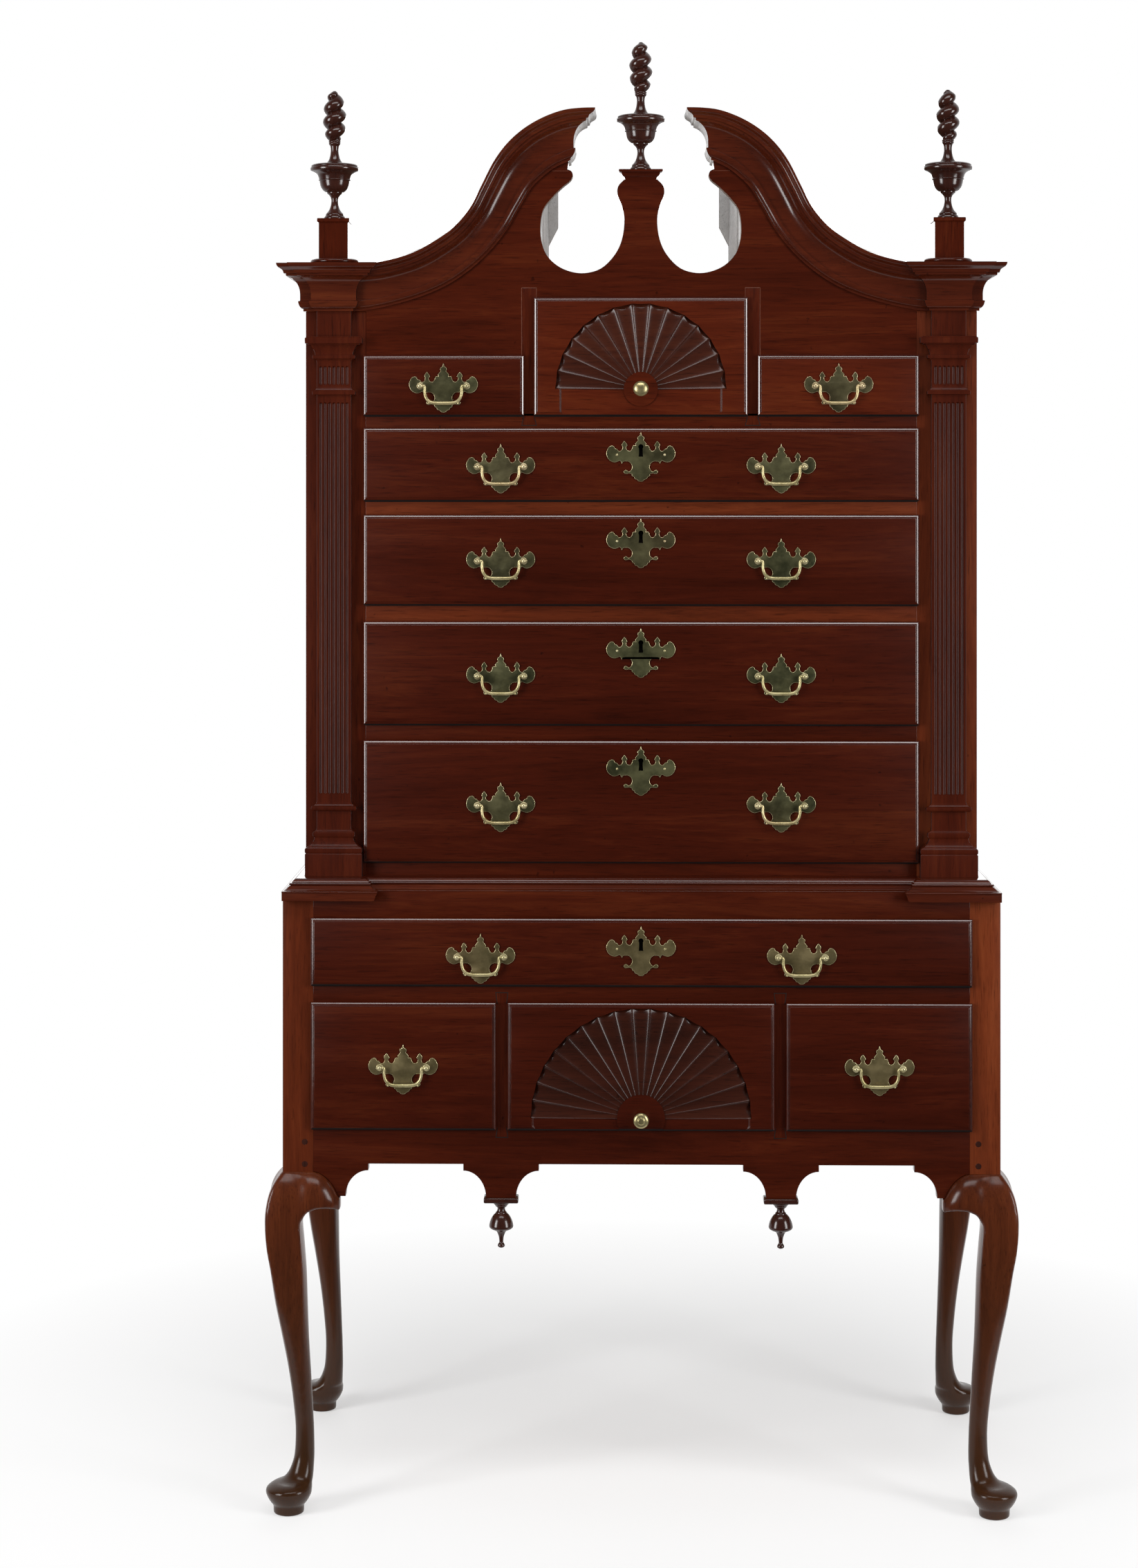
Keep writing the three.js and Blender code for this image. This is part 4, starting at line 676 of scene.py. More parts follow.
def pilasterShape():
    p = pilasterProfile
    shaftTop, foot = case["stileTop"] - p["capitalHeight"], case["lowerTop"]
    levels = [(foot + h * p["baseHeight"], out) for h, out in p["base"]]
    levels += [(shaftTop + h * p["capitalHeight"], out) for h, out in p["capital"]]
    rings = []
    for z, out in levels:
        half, front = swan["shaftHalf"] + out * p["out"], swan["breakFace"] - out * p["reach"]
        x0, x1 = swan["pilaster"] - half, swan["pilaster"] + half
        rings.append([(x0, case["upperFace"], z), (x0, front, z), (x1, front, z), (x1, case["upperFace"], z)])
    body = loft(rings)
    bmesh.ops.recalc_face_normals(body, faces=body.faces)
    corners = [edge for edge in body.edges if len({abs(face.normal.x) > 0.9 for face in edge.link_faces}) == 2
               and all(vert.co.y < case["upperFace"] - 0.5 for vert in edge.verts)]
    for face in rounded(body, corners, 0.55, 1):
        face.material_index = 2
    middle = (flute["count"] - 1) / 2
    spans = [(foot + p["baseHeight"] + flute["margin"], shaftTop - flute["margin"]),
             tuple(shaftTop + share * p["capitalHeight"] for share in flute["short"])]
    cutters = [fluteCutter(swan["pilaster"] + (k - middle) * flute["pitch"], *span)
               for span in spans for k in range(flute["count"])]
    body = carve(body, mergeShapes(cutters))
    # flute walls and sides that face sideways take the painted shade
    for face in body.faces:
        if face.material_index == 0 and abs(face.normal.x) > 0.8:
            face.material_index = 1
    return body


for side, word in sides:
    shape = pilasterShape()
    shape = mirrorShape(shape) if side < 0 else shape
    addPiece(f"pilaster{word.title()}", [shape], [pilasterWood, shadeWood, lipWood], [f"pilaster_{word}"], angle=40)
print("pilasters")

finial = {
    "radius": 36.8, "height": 193.5,
    "urn": [
        (0, -0.002), (0.425, -0.002), (0.437, 0.004),
        *smoothLine([(0.436, 0.010), (0.415, 0.020), (0.367, 0.027)], 3),
        *smoothLine([(0.372, 0.029), (0.366, 0.038), (0.33, 0.048), (0.262, 0.063), (0.202, 0.084), (0.158, 0.112),
                     (0.140, 0.138), (0.143, 0.156), (0.172, 0.173), (0.22, 0.186), (0.285, 0.197)], 4),
        (0.298, 0.199), (0.312, 0.203), (0.308, 0.209),
        *smoothLine([(0.36, 0.209), (0.467, 0.223), (0.562, 0.250), (0.604, 0.278), (0.624, 0.298)], 4),
        *smoothLine([(0.652, 0.299), (0.664, 0.304), (0.650, 0.309)], 2),
        *smoothLine([(0.637, 0.311), (0.662, 0.326), (0.700, 0.345), (0.783, 0.3585), (0.886, 0.368)], 4),
        *smoothLine([(0.93, 0.371), (0.985, 0.379), (1, 0.391), (0.985, 0.402), (0.955, 0.406)], 3),
        *smoothLine([(0.950, 0.408), (0.962, 0.413), (0.93, 0.421), (0.85, 0.427)], 3),
        *smoothLine([(0.60, 0.4285), (0.42, 0.430), (0.37, 0.434), (0.285, 0.450), (0.216, 0.476), (0.175, 0.510),
                     (0.163, 0.545), (0.182, 0.570), (0.215, 0.580)], 4),
        *smoothLine([(0.232, 0.584), (0.245, 0.590), (0.232, 0.596)], 2),
        *smoothLine([(0.242, 0.600), (0.252, 0.605), (0.235, 0.611), (0.15, 0.615)], 2),
        (0, 0.615),
    ],
    "flame": [0.46, 0.72, 0.88, 0.93, 0.98, 1.0, 1.0, 0.97, 0.92, 0.84, 0.73, 0.58, 0.14],
    "flameRadius": 17.8, "flameStart": 0.604, "valley": 0.50, "crown": 0.64, "pitch": 21.5, "sides": 56, "steps": 110,
    "places": {"left": (-461.8, 34.5, 1942.5, 0.92), "right": (461.8, 34.5, 1942.5, 4.67),
               "centre": (0, 42.5, 2016.5, 3.6)},
}


def finialShapes(x, y, base, lead):
    f = finial
    urn = turned([(r * f["radius"], z * f["height"]) for r, z in f["urn"]], 56, standing(x, y, base))
    length = (1 - f["flameStart"]) * f["height"]
    rings = []
    for step in range(f["steps"] + 1):
        share = step / f["steps"]
        radius = f["flameRadius"] * splinePoint([(k, value) for k, value in enumerate(f["flame"])], share).y
        ring = []
        for side in range(f["sides"]):
            angle = tau * side / f["sides"]
            away = angle - lead - tau * share * length / f["pitch"]
            reach = radius * (f["valley"] + (1 - f["valley"]) * abs(cos(away / 2)) ** f["crown"])
            ring.append((x + reach * cos(angle), y + reach * sin(angle),
                         base + f["height"] * f["flameStart"] + length * share))
        rings.append(ring)
    return [urn, loft(rings)]


for word, place in finial["places"].items():
    addPiece(f"finial{word.title()}", finialShapes(*place), [turnedWood], [f"finial_{word}"], angle=50)
print("finials")

# Drawers; a box is the left, right, lower and upper edge of a lipped front

fanShape = {"bandSink": 2.2, "scoop": 6.5, "depth": 0.13, "sink": 0.7, "fall": 0.5, "bandSlope": 1.3}
drawerRows = [
    {"name": "upper_long_4", "box": (-418, 418, 973.6, 1157.2), "pulls": (-210.7, 210.7), "drop": 5.2, "lock": 1115.0},
    {"name": "upper_long_3", "box": (-418, 418, 1180.7, 1336.2), "pulls": (-210.7, 210.7), "drop": 4.0, "lock": 1292.2},
    {"name": "upper_long_2", "box": (-418, 418, 1361.0, 1497.0), "pulls": (-210.7, 210.7), "drop": 1.6, "lock": 1456.9},
    {"name": "upper_long_1", "box": (-418, 418, 1517.7, 1627.8), "pulls": (-210.7, 210.7), "drop": 3.6, "lock": 1586.6},
    {"name": "upper_small_left", "box": (-418, -175.6, 1646, 1737), "pulls": (-296.8,), "drop": 1.0},
    {"name": "upper_small_right", "box": (175.6, 418, 1646, 1737), "pulls": (296.8,), "drop": 1.0},
    {"name": "upper_fan", "box": (-161, 161, 1646, 1824), "pulls": (),
     "fan": {"centre": 40, "rim": 128.8, "hub": 25.7, "lobes": 15, "band": 119.5, **fanShape}},
    {"name": "lower_long", "box": (-494, 494, 792.5, 893.9), "pulls": (-239.6, 239.6), "drop": 6.0, "lock": 849.2},
    {"name": "lower_small_left", "box": (-494, -216.6, 577.6, 768), "pulls": (-355.3,), "drop": 1.0},
    {"name": "lower_small_right", "box": (216.6, 494, 577.6, 768), "pulls": (355.3,), "drop": 1.0},
    {"name": "lower_fan", "box": (-199.5, 199.5, 577.6, 768), "pulls": (),
     "fan": {"centre": 18.6, "rim": 165, "hub": 35.9, "lobes": 19, "band": 160, **fanShape}},
]
thumb = {
    "width": 8.0, "upperShadow": 1.7, "lowerShadow": 3.0,
    "profile": [
        (0.03, -0.01), (0, 0.02), (0, 0.52),
        *smoothLine([(0, 0.54), (0.02, 0.61), (0.09, 0.675), (0.25, 0.762), (0.42, 0.832), (0.60, 0.89)], 3),
        (0.635, 0.898), (0.655, 0.985), (0.69, 1),
    ],
}
drawerBox = {"inner": 12.0, "side": 11.0, "bottom": 7.0, "rise": 5.0, "back": 475.0, "clearance": 1.5,
             "footGap": 0.3, "topClearance": 4.0, "drop": 6.0, "tail": 9.0, "tailPitch": 34.0}
keyhole = {"radius": 3.8, "up": 12.6, "half": 2.8, "foot": -2.4, "flare": 3.4}


def camel(name):
    first, *rest = name.split("_")
    return first + "".join(word.title() for word in rest)


def bandRing(fan, band, y, bottom):
    centre, low, hub = bottom + fan["centre"], bottom - 0.5, fan["hub"]
    reach = centre - low
    if hub < reach:
        inner = [(-0.4, low), (-0.4, centre - hub), *arcPoints(0, centre, hub, -90, 0, 14)]
    else:
        inner = arcPoints(0, centre, hub, -degrees(asin(reach / hub)), 0, 10)
    outline = [*inner, (band, centre + 0.4), *arcPoints(band - 9, low + 9, 9, 0, -90, 8)]
    return [(x, y, z) for x, z in outline]


def fanCutters(fan, face, bottom):
    # hollow flutes between sharp ridges, each ended by a scoop that falls to the rim
    perLobe, radial, back = 16, 20, -3.0
    rings = []
    for column in range(fan["lobes"] * perLobe + 1):
        lobe, part = divmod(column, perLobe)
        across = (1 - cos(pi * part / perLobe)) / 2
        angle = pi * (lobe + across) / fan["lobes"]
        belly = sin(pi * across)
        rim = fan["rim"] - 1.2 * belly
        crease = rim - 0.4 - fan["scoop"] * belly
        ring = []
        for step in range(radial + 1):
            radius = fan["hub"] + (crease - fan["hub"]) * step / radial
            ring.append((radius, fan["sink"] + fan["depth"] * pi * radius / fan["lobes"] * belly ** 0.6))
        deepest = ring[-1][1]
        ring += [(crease + (rim - crease) * share, deepest + fan["fall"] * (rim - crease) * share ** 1.3)
                 for share in (0.33, 0.66, 1)]
        ring += [(rim, back), (fan["hub"], back)]
        rings.append([(r * cos(angle), face + d, r * sin(angle)) for r, d in ring])
    lobes = moveShape(loft(rings, finish=1), 0, 0, bottom + fan["centre"])
    sink, slope = fan["bandSink"], fan["bandSlope"]
    right = loft([bandRing(fan, fan["band"] + (sink - y) * slope, face + y, bottom) for y in (back, sink)])
    bmesh.ops.recalc_face_normals(right, faces=right.faces)
    for side in right.faces:
        side.material_index = 3 if 0.3 < side.normal.x < 0.95 else 0
    left = mirrorShape(mergeShapes([right.copy()]))
    return [lobes, right, left]


def keyholePoints(x, z):
    k = keyhole
    spread = degrees(asin(k["half"] / k["radius"]))
    head = arcPoints(x, z + k["up"], k["radius"], -90 + spread, 270 - spread, 16)
    return [*head, (x - k["half"], z + 4), (x - k["flare"], z + k["foot"]), (x + k["flare"], z + k["foot"]),
            (x + k["half"], z + 4)]


def boxSpan(row):
    left, right, bottom, top = row["box"]
    lap, b = case["lipOverlap"], drawerBox
    return (left + lap + b["clearance"], right - lap - b["clearance"],
            bottom + lap + b["footGap"], top - lap - b["topClearance"])


def drawerFront(row, face):
    left, right, bottom, top = row["box"]
    rings = []
    for inset, depth in thumb["profile"]:
        i, y = inset * thumb["width"], face - 0.3 - depth * (case["lipThickness"] - 0.3)
        rings.append([(left + i, y, bottom + i), (right - i, y, bottom + i),
                      (right - i, y, top - i), (left + i, y, top - i)])
    shadow = thumb["upperShadow" if face else "lowerShadow"]
    lip = loft(rings)
    bmesh.ops.recalc_face_normals(lip, faces=lip.faces)
    for side in lip.faces:
        shadowed = side.normal.z < -0.2
        side.material_index = 0 if shadowed or abs(side.normal.y) > 0.97 else 3
        # the lowest downward faces of the lip take the painted shade
        if shadowed and side.calc_center_median().z < bottom + shadow:
            side.material_index = 4
    frontFace = face - case["lipThickness"]
    if "fan" in row:
        for cutter in fanCutters(row["fan"], frontFace, bottom):
            lip = carve(lip, cutter)
    if "lock" in row:
        hole = frontPrism(keyholePoints(0, row["lock"]), frontFace - 3, frontFace + 8, edge=0, finish=2)
        lip = carve(lip, hole)
    x0, x1, z0, z1 = boxSpan(row)
    return [lip, board(x0, x1, face - 1, face + drawerBox["inner"], z0, z1, 0.4)]


def drawerTrunk(row, face):
    b = drawerBox
    x0, x1, z0, z1 = boxSpan(row)
    z1 -= b["drop"]
    front, back = face + b["inner"], b["back"]
    tails = max(2, round((z1 - z0) / b["tailPitch"]))
    pitch = (z1 - z0) / tails
    line = []
    for k in range(tails):
        middle = z0 + (k + 0.5) * pitch
        line += [(front, middle - pitch * 0.30), (front - b["tail"], middle - pitch * 0.42),
                 (front - b["tail"], middle + pitch * 0.42), (front, middle + pitch * 0.30)]
    outline = [(front, z0), *line, (front, z1), (back, z1), (back, z0)]
    shapes = [sidePrism(outline, x0 - 0.12, x0 + b["side"], edge=0.3),
              sidePrism(outline, x1 - b["side"], x1 + 0.12, edge=0.3)]
    floor = z0 + b["rise"]
    shapes.append(board(x0 + 6, x1 - 6, front, back - 2, floor, floor + b["bottom"], 0.5, 1))
    shapes.append(board(x0 + b["side"], x1 - b["side"], back - b["side"], back, floor, z1, 0.5, 1))
    return shapes


plateOutline = {
    "head": smoothLine([(0, 34.5), (0.9, 31.5), (1.3, 29.4)], 2),
    "curls": [
        [(4.3, 27.6), (5, 25.1), (3.9, 22.5)], [(3.9, 22.5), (6.5, 19.5), (8.2, 16.9), (7.5, 14.5)],
        [(7.5, 14.5), (11.6, 14.3), (13.2, 10), (15.1, 7), (17.2, 6.1), (19.8, 7), (22, 10), (22, 12.6), (20.2, 14.3)],
        [(20.2, 14.3), (21.5, 16.9), (24.5, 21.2)],
        [(24.5, 21.2), (27.1, 18.6), (28.7, 14.7), (27.6, 12.6), (28, 9.1), (30.1, 6.5), (33.1, 6.1), (35.7, 9.1)],
        [(35.7, 9.1), (39.2, 10.4), (40, 12.6), (43, 14.5)],
        [(43, 14.5), (46.9, 13), (49.9, 9.1), (51.7, 4), (51.2, -1.2), (49.1, -5.5), (45.2, -9), (39.2, -10.8),
         (31.4, -8.1)],
        [(31.4, -8.1), (29.8, -10.2), (28.6, -13.0)], [(28.6, -13.0), (27.0, -10.2), (24.6, -9.4)],
        [(24.6, -9.4), (19.5, -9.4), (15.6, -11.8), (13.3, -16.0), (13.6, -20.4), (15.9, -23.8), (18.9, -25.0)],
        [(18.9, -25.0), (20.4, -23.2), (22.9, -22.3), (25.2, -23.6), (25.6, -26.0), (23.8, -27.8), (20.5, -27.8)],
        [(20.5, -27.8), (16.6, -27.4), (13.6, -28.8)], [(13.6, -28.8), (12.9, -31.4), (10.3, -32.6)],
        [(10.3, -32.6), (8.8, -35.6), (5.2, -36.8)], [(5.2, -36.8), (3.8, -38.8), (0, -39.9)],
    ],
}


plateThick = 2.0


def plateLine():
    line = list(plateOutline["head"])
    for curl in plateOutline["curls"]:
        line += smoothLine(curl, 3)
    cleaned = [line[0]]
    for point in line[1:]:
        if (Vector(point) - Vector(cleaned[-1])).length > 0.25:
            cleaned.append(point)
    return cleaned


def plateShape(x, z, back):
    right = plateLine()
    outline = right + mirroredLine(right)[1:-1]
    shape = frontPrism([(x + px, z + pz) for px, pz in outline], back, back - plateThick, edge=0)
    near = back - plateThick + 0.1
    front = [face for face in shape.faces if face.calc_center_median().y < near]
    rims = [edge for edge in shape.edges
            if all(vert.co.y < near for vert in edge.verts) and any(face not in front for face in edge.link_faces)]
    rounded(shape, rims, 0.75)
    bmesh.ops.recalc_face_normals(shape, faces=shape.faces)
    for face in shape.faces:
        face.material_index = 0 if abs(face.normal.y) > 0.94 else 1
    return shape


postProfile = [
    (0, -0.4), (5.3, -0.4), *smoothLine([(5.4, 0.2), (5.1, 0.9), (4.2, 1.2), (3.0, 1.6), (2.6, 2.2)], 3),
    *smoothLine([(2.7, 2.6), (3.4, 3.4), (3.8, 5.2), (3.5, 7.0), (2.6, 8.2), (1.2, 8.8), (0, 9)], 3),
]
bail = {
    "path": [
        (0.83, 0), (0.80, 0.03), (0.795, 0.16), (0.80, 0.3), (0.785, 0.5), (0.74, 0.68), (0.66, 0.83),
        (0.55, 0.935), (0.40, 0.985), (0.2, 1.0), (0, 1.0),
    ],
    "post": 34.8, "drop": 26.0, "forward": 5.2, "sides": 16, "steps": 60, "eye": [(33.0, 0), (30.6, 0)],
    "pin": (0.045, 1.35), "radius": 1.85, "belly": 0.8, "ring": (0.05, 0.11, 0.45), "bead": 22.3, "beadRadius": 1.6,
}


def bailRadius(share):
    away = min(share, 1 - share)
    pinEnd, pinRadius = bail["pin"]
    radius = pinRadius if away < pinEnd else bail["radius"] + bail["belly"] * sin(pi * share) ** 2.4
    low, high, swell = bail["ring"]
    return radius + swell if low < away < high else radius


def bailShapes(x, z, plateFace):
    axis = plateFace - bail["forward"]
    line = bail["eye"] + [(px * bail["post"], -pz * bail["drop"]) for px, pz in bail["path"]]
    line = line + [(-px, pz) for px, pz in reversed(line[:-1])]
    rings = []
    for step in range(bail["steps"] + 1):
        share = step / bail["steps"]
        here = splinePoint(line, share)
        ahead = splinePoint(line, min(1, share + 0.002)) - splinePoint(line, max(0, share - 0.002))
        across = Vector((ahead.y, -ahead.x)).normalized()
        radius = bailRadius(share)
        ring = []
        for side in range(bail["sides"]):
            angle = tau * side / bail["sides"]
            flat = here + across * radius * cos(angle)
            ring.append((x + flat.x, axis + radius * sin(angle), z + flat.y))
        rings.append(ring)
    shapes = [loft(rings)]
    for side in (-1, 1):
        bead = bmesh.new()
        bmesh.ops.create_uvsphere(bead, u_segments=12, v_segments=8, radius=bail["beadRadius"],
                                  matrix=standing(x + side * bail["bead"], axis, z - bail["drop"]))
        shapes.append(bead)
    return shapes


brassNail = [(0, 0), (1.9, 0), *smoothLine([(1.9, 0.1), (1.5, 0.7), (0.8, 1.05), (0, 1.15)], 2)]


def escutcheonShapes(z, frontFace):
    hole = frontPrism(keyholePoints(0, z), frontFace + 1, frontFace - 4, edge=0)
    nails = [turned(brassNail, 14, facing(x, frontFace - plateThick, z + 0.4), 1) for x in (-35.8, 35.8)]
    return [carve(plateShape(0, z, frontFace), hole), *nails]


knobStem = [(0, 0), (7, 0), *smoothLine([(7.3, 0.5), (6.9, 1.4), (4.8, 3), (4.2, 6), (5, 9)], 3)]
knobProfiles = {
    "upper": [*knobStem, *smoothLine([(8.8, 11), (11, 13), (11.6, 15), (11.1, 17.4), (9, 19.6), (5.6, 21.2),
                                      (2.4, 21.9), (0, 22)], 4)],
    "lower": [*knobStem,
              *smoothLine([(8.8, 11), (11, 13), (11.6, 15), (11.0, 17.2), (8.6, 19), (5.4, 19.9)], 4),
              *smoothLine([(5.1, 20.6), (4.4, 21.5), (2.4, 21.9), (0, 22)], 3)],
}
tipProfile = [(0, 0), *smoothLine([(1.5, 0), (1.9, 1), (1.3, 2), (0, 2.3)], 2)]


def plateShapes(x, z, frontFace):
    posts = [turned(postProfile, 18, facing(x + side * bail["post"], frontFace - plateThick, z), 1)
             for side in (-1, 1)]
    tips = [turned(tipProfile, 12, standing(x + side * 37.9, frontFace - 7.2, z)
                   @ Matrix.Rotation(side * pi / 2, 4, "Y"), 1) for side in (-1, 1)]
    return [plateShape(x, z, frontFace), *posts, *tips]


for index, row in enumerate(drawerRows):
    name = row["name"]
    face = 0.0 if name.startswith("lower") else case["upperFace"]
    frontFace = face - case["lipThickness"]
    node = f"{name}_drawer"
    tone = "warm" if name in ("upper_small_right", "upper_fan") else "drawer"
    front = makeWood(f"{camel(name)}Wood", tone, "X", (index * 1.37, 0.4 * index, index * 2.11))
    materials = [front, carvedWood, oldIron, lipWood, grimeWood]
    plateMetal = agedPlate if name.startswith("lower") else plateBrass
    addPiece(f"{camel(name)}Front", drawerFront(row, face), materials, [node], node)
    addPiece(f"{camel(name)}Box", drawerTrunk(row, face), [pineDeep, pineLong], (), node)
    middle = (row["box"][2] + row["box"][3]) / 2
    for x in row["pulls"]:
        z = middle - row["drop"]
        tag = name if len(row["pulls"]) == 1 else f"{name}_{'left' if x < 0 else 'right'}"
        addPiece(f"{camel(tag)}Plate", plateShapes(x, z, frontFace), [plateMetal, edgeBrass], [f"{tag}_plate"],
                 node, angle=45)
        addPiece(f"{camel(tag)}Bail", bailShapes(x, z, frontFace - plateThick), [bailBrass], [f"{tag}_bail"],
                 f"{tag}_bail", angle=60)
    if "lock" in row:
        addPiece(f"{camel(name)}Escutcheon", escutcheonShapes(row["lock"], frontFace), [plateMetal, edgeBrass], (),
                 node, angle=22)
    if "fan" in row:
        z = row["box"][2] + row["fan"]["centre"]
        profile = knobProfiles["upper" if name.startswith("upper") else "lower"]
        addPiece(f"{camel(name)}Knob", [turned(profile, 40, facing(0, frontFace, z))], [knobBrass],
                 [f"{name}_knob"], node, angle=60)
print("drawers")

# Front frames

upperFrame = {
    "inner": 414.5, "divider": (157.5, 179.1), "dividerFoot": 1645, "tailX": 168.3, "tail": (1646, -14, 7, 10.5),
    "rails": [(933, 977.1), (1153.7, 1184.2), (1332.7, 1364.5), (1493.5, 1521.2), (1624.3, 1649.5)],
    "paleRails": (2, 3),
}
lowerFrame = {
    "inner": 490.5, "smallFoot": 581.1, "divider": (196.0, 220.1), "dividerSpan": (580.6, 765), "tailX": 208,
    "tails": [(765, 16.5, 6.2, 8.4), (580.6, -14.5, 6.2, 8.4)], "rails": [(764.5, 796.0), (890.4, 933.0)],
    "scoop": {"half": 151, "splay": 4, "depth": 0.9, "low": 510, "high": 585},
}


def dovetailShapes(x, face, z, run, neck, end):
    shapes = []
    for extra, proud, finish in ((1.3, 0.08, 3), (0, 0.13, 1)):
        far = z + run + copysign(extra, run)
        points = [(x - neck - extra, z), (x + neck + extra, z), (x + end + extra, far), (x - end - extra, far)]
        shapes.append(frontPrism(points, face - proud, face + 2, edge=0.05, finish=finish))
    return shapes


def upperFrameShapes():
    f, y0, y1 = upperFrame, case["upperFace"], case["upperFaceBack"]
    shapes = [shape for x in (-f["tailX"], f["tailX"]) for shape in dovetailShapes(x, y0, *f["tail"])]
    for side in (-1, 1):
        shapes.append(board(*sideSpan(side, f["inner"], case["upperHalf"]), y0, y1, case["lowerTop"],
                            case["stileTop"], 0.5, 1 if side < 0 else 4))
        shapes.append(board(*sideSpan(side, *f["divider"]), y0, y1, f["dividerFoot"], case["dividerTop"] - 0.2,
                            0.5, 1))
    for index, (low, high) in enumerate(f["rails"]):
        shapes.append(board(-f["inner"] - 0.3, f["inner"] + 0.3, y0, y1, low, high, 0.5,
                            2 if index in f["paleRails"] else 0))
    return shapes


addPiece("upperFrontFrame", upperFrameShapes(), [frontWood, uprightWood, railWood, grimeWood, postWood],
         ["upper_front_frame"])

skirt = {"flat": 525.4, "step": 9.9, "tongueDrop": 50.2, "tongueCentre": 209.3, "tongueHalf": 22.5,
         "spread": 34.0, "endDrop": 48.7, "endRun": 8.0}
ear = {
    "reach": 86.0, "height": 62.0,
    "rows": [
        (0.10, 0.98, -0.25, 16.0, 0.55), (0.22, 1, -0.25, 21.6, 0.55), (0.32, 1, -0.21, 23.0, 0.55),
        (0.42, 0.999, 0.02, 23.3, 0.55), (0.53, 0.992, 0.105, 22.6, 0.55), (0.624, 0.955, 0.14, 21.4, 0.545),
        (0.75, 0.845, 0.14, 18.2, 0.535), (0.877, 0.64, 0.11, 12.6, 0.515), (0.955, 0.42, 0.07, 6.5, 0.49),
        (1, 0.35, 0.035, 1.5, 0.48),
    ],
    "section": [(0, 0.90), (0.12, 0.97), (0.28, 1.0), (0.43, 0.96), (0.58, 0.86), (0.72, 0.69), (0.85, 0.46),
                (0.94, 0.24), (0.99, 0.06)],
}


def earTop():
    foot = case["legTop"] - ear["height"]
    line = [(reach * ear["reach"], foot + top * ear["height"] + 0.3) for reach, top, *_ in ear["rows"][4:]]
    line = smoothLine(line, 4)
    return [(case["post"], line[0][1]), *line[1:], (ear["reach"] + 0.3, skirt["flat"] - skirt["endDrop"])]


def hollow(x, z, direction, steps=12):
    top = skirt["flat"] - skirt["step"]
    points = []
    for k in range(steps + 1):
        angle = pi / 2 * k / steps
        points.append((x + direction * skirt["spread"] * (1 - cos(angle)), z + (top - z) * sin(angle)))
    return [*points, (x + direction * skirt["spread"], skirt["flat"])]


def skirtOutline():
    s = skirt
    tongueFoot, endFoot = s["flat"] - s["tongueDrop"], s["flat"] - s["endDrop"]
    endReach = ear["reach"] + 0.3 + s["endRun"]
    half = case["lowerHalf"]
    right = [
        *reversed(hollow(s["tongueCentre"] - s["tongueHalf"], tongueFoot, -1)),
        *hollow(s["tongueCentre"] + s["tongueHalf"], tongueFoot, 1),
        *reversed(hollow(half - endReach, endFoot, -1)),
        *[(half - reach, z) for reach, z in reversed(earTop())],
        (lowerFrame["inner"], lowerFrame["smallFoot"]),
    ]
    return right + mirroredLine(right)


def lowerFrameShapes():
    f, s, y0, y1 = lowerFrame, lowerFrame["scoop"], 0.0, case["board"]
    corners = [(-1, s["low"]), (1, s["low"]), (1, s["high"]), (-1, s["high"])]
    scoop = loft([[(x * (s["half"] - s["splay"] * y), y, z) for x, z in corners] for y in (-1, s["depth"])])
    shapes = [carve(frontPrism(skirtOutline(), y0, y1, edge=0.4), scoop)]
    for x in (-f["tailX"], f["tailX"]):
        for tail in f["tails"]:
            shapes += dovetailShapes(x, y0, *tail)
    for low, high in f["rails"]:
        shapes.append(board(-f["inner"] - 0.2, f["inner"] + 0.2, y0, y1, low, high, 0.5, 0))
    for side in (-1, 1):
        shapes.append(board(*sideSpan(side, *f["divider"]), y0, y1, *f["dividerSpan"], 0.5, 1))
    return shapes


# thin dark strips on the rails just below each drawer's lip: a painted shadow
addPiece("paintedLipShadow", [
    board(row["box"][0] + 2, row["box"][1] - 2, face - 0.05, face + 1, row["box"][2] - 1.5, row["box"][2] + 1, 0)
    for row in drawerRows for face in [0.0 if row["name"].startswith("lower") else case["upperFace"]]
], [grimeWood])
addPiece("lowerFrontFrame", lowerFrameShapes(), [frontWood, uprightWood, railWood, grimeWood], ["lower_front_frame"])
print("frames")

# Waist moulding

waistProfile = [
    (0, 0), (0.985, 0), (1, 0.015), (1, 0.075),
    *smoothLine([(0.99, 0.088), (0.90, 0.13), (0.81, 0.20), (0.735, 0.30), (0.665, 0.40), (0.60, 0.452)], 3),
    *smoothLine([(0.60, 0.466), (0.645, 0.50), (0.66, 0.56), (0.64, 0.62), (0.57, 0.655)], 3),
    *smoothLine([(0.55, 0.665), (0.52, 0.74), (0.42, 0.88), (0.26, 0.965), (0.06, 1)], 4),
    (0, 1),
]
waist = {
    "half": 505.3, "face": 31.2, "plinth": 13.2, "inner": 424.7, "reach": 31.2, "height": 21.0,
    "fascia": [(536.5, 920.5), (536.5, 933.8), (394.5, 933.8), (394.5, 930.2),
               *smoothLine([(395.9, 928.6), (396.7, 926.0), (397.5, 922.8), (399.9, 920.5)], 3)],
    "fasciaFace": -16.4, "bead": (0.47, 0.66), "step": 0.8, "wear": 0.6,
}


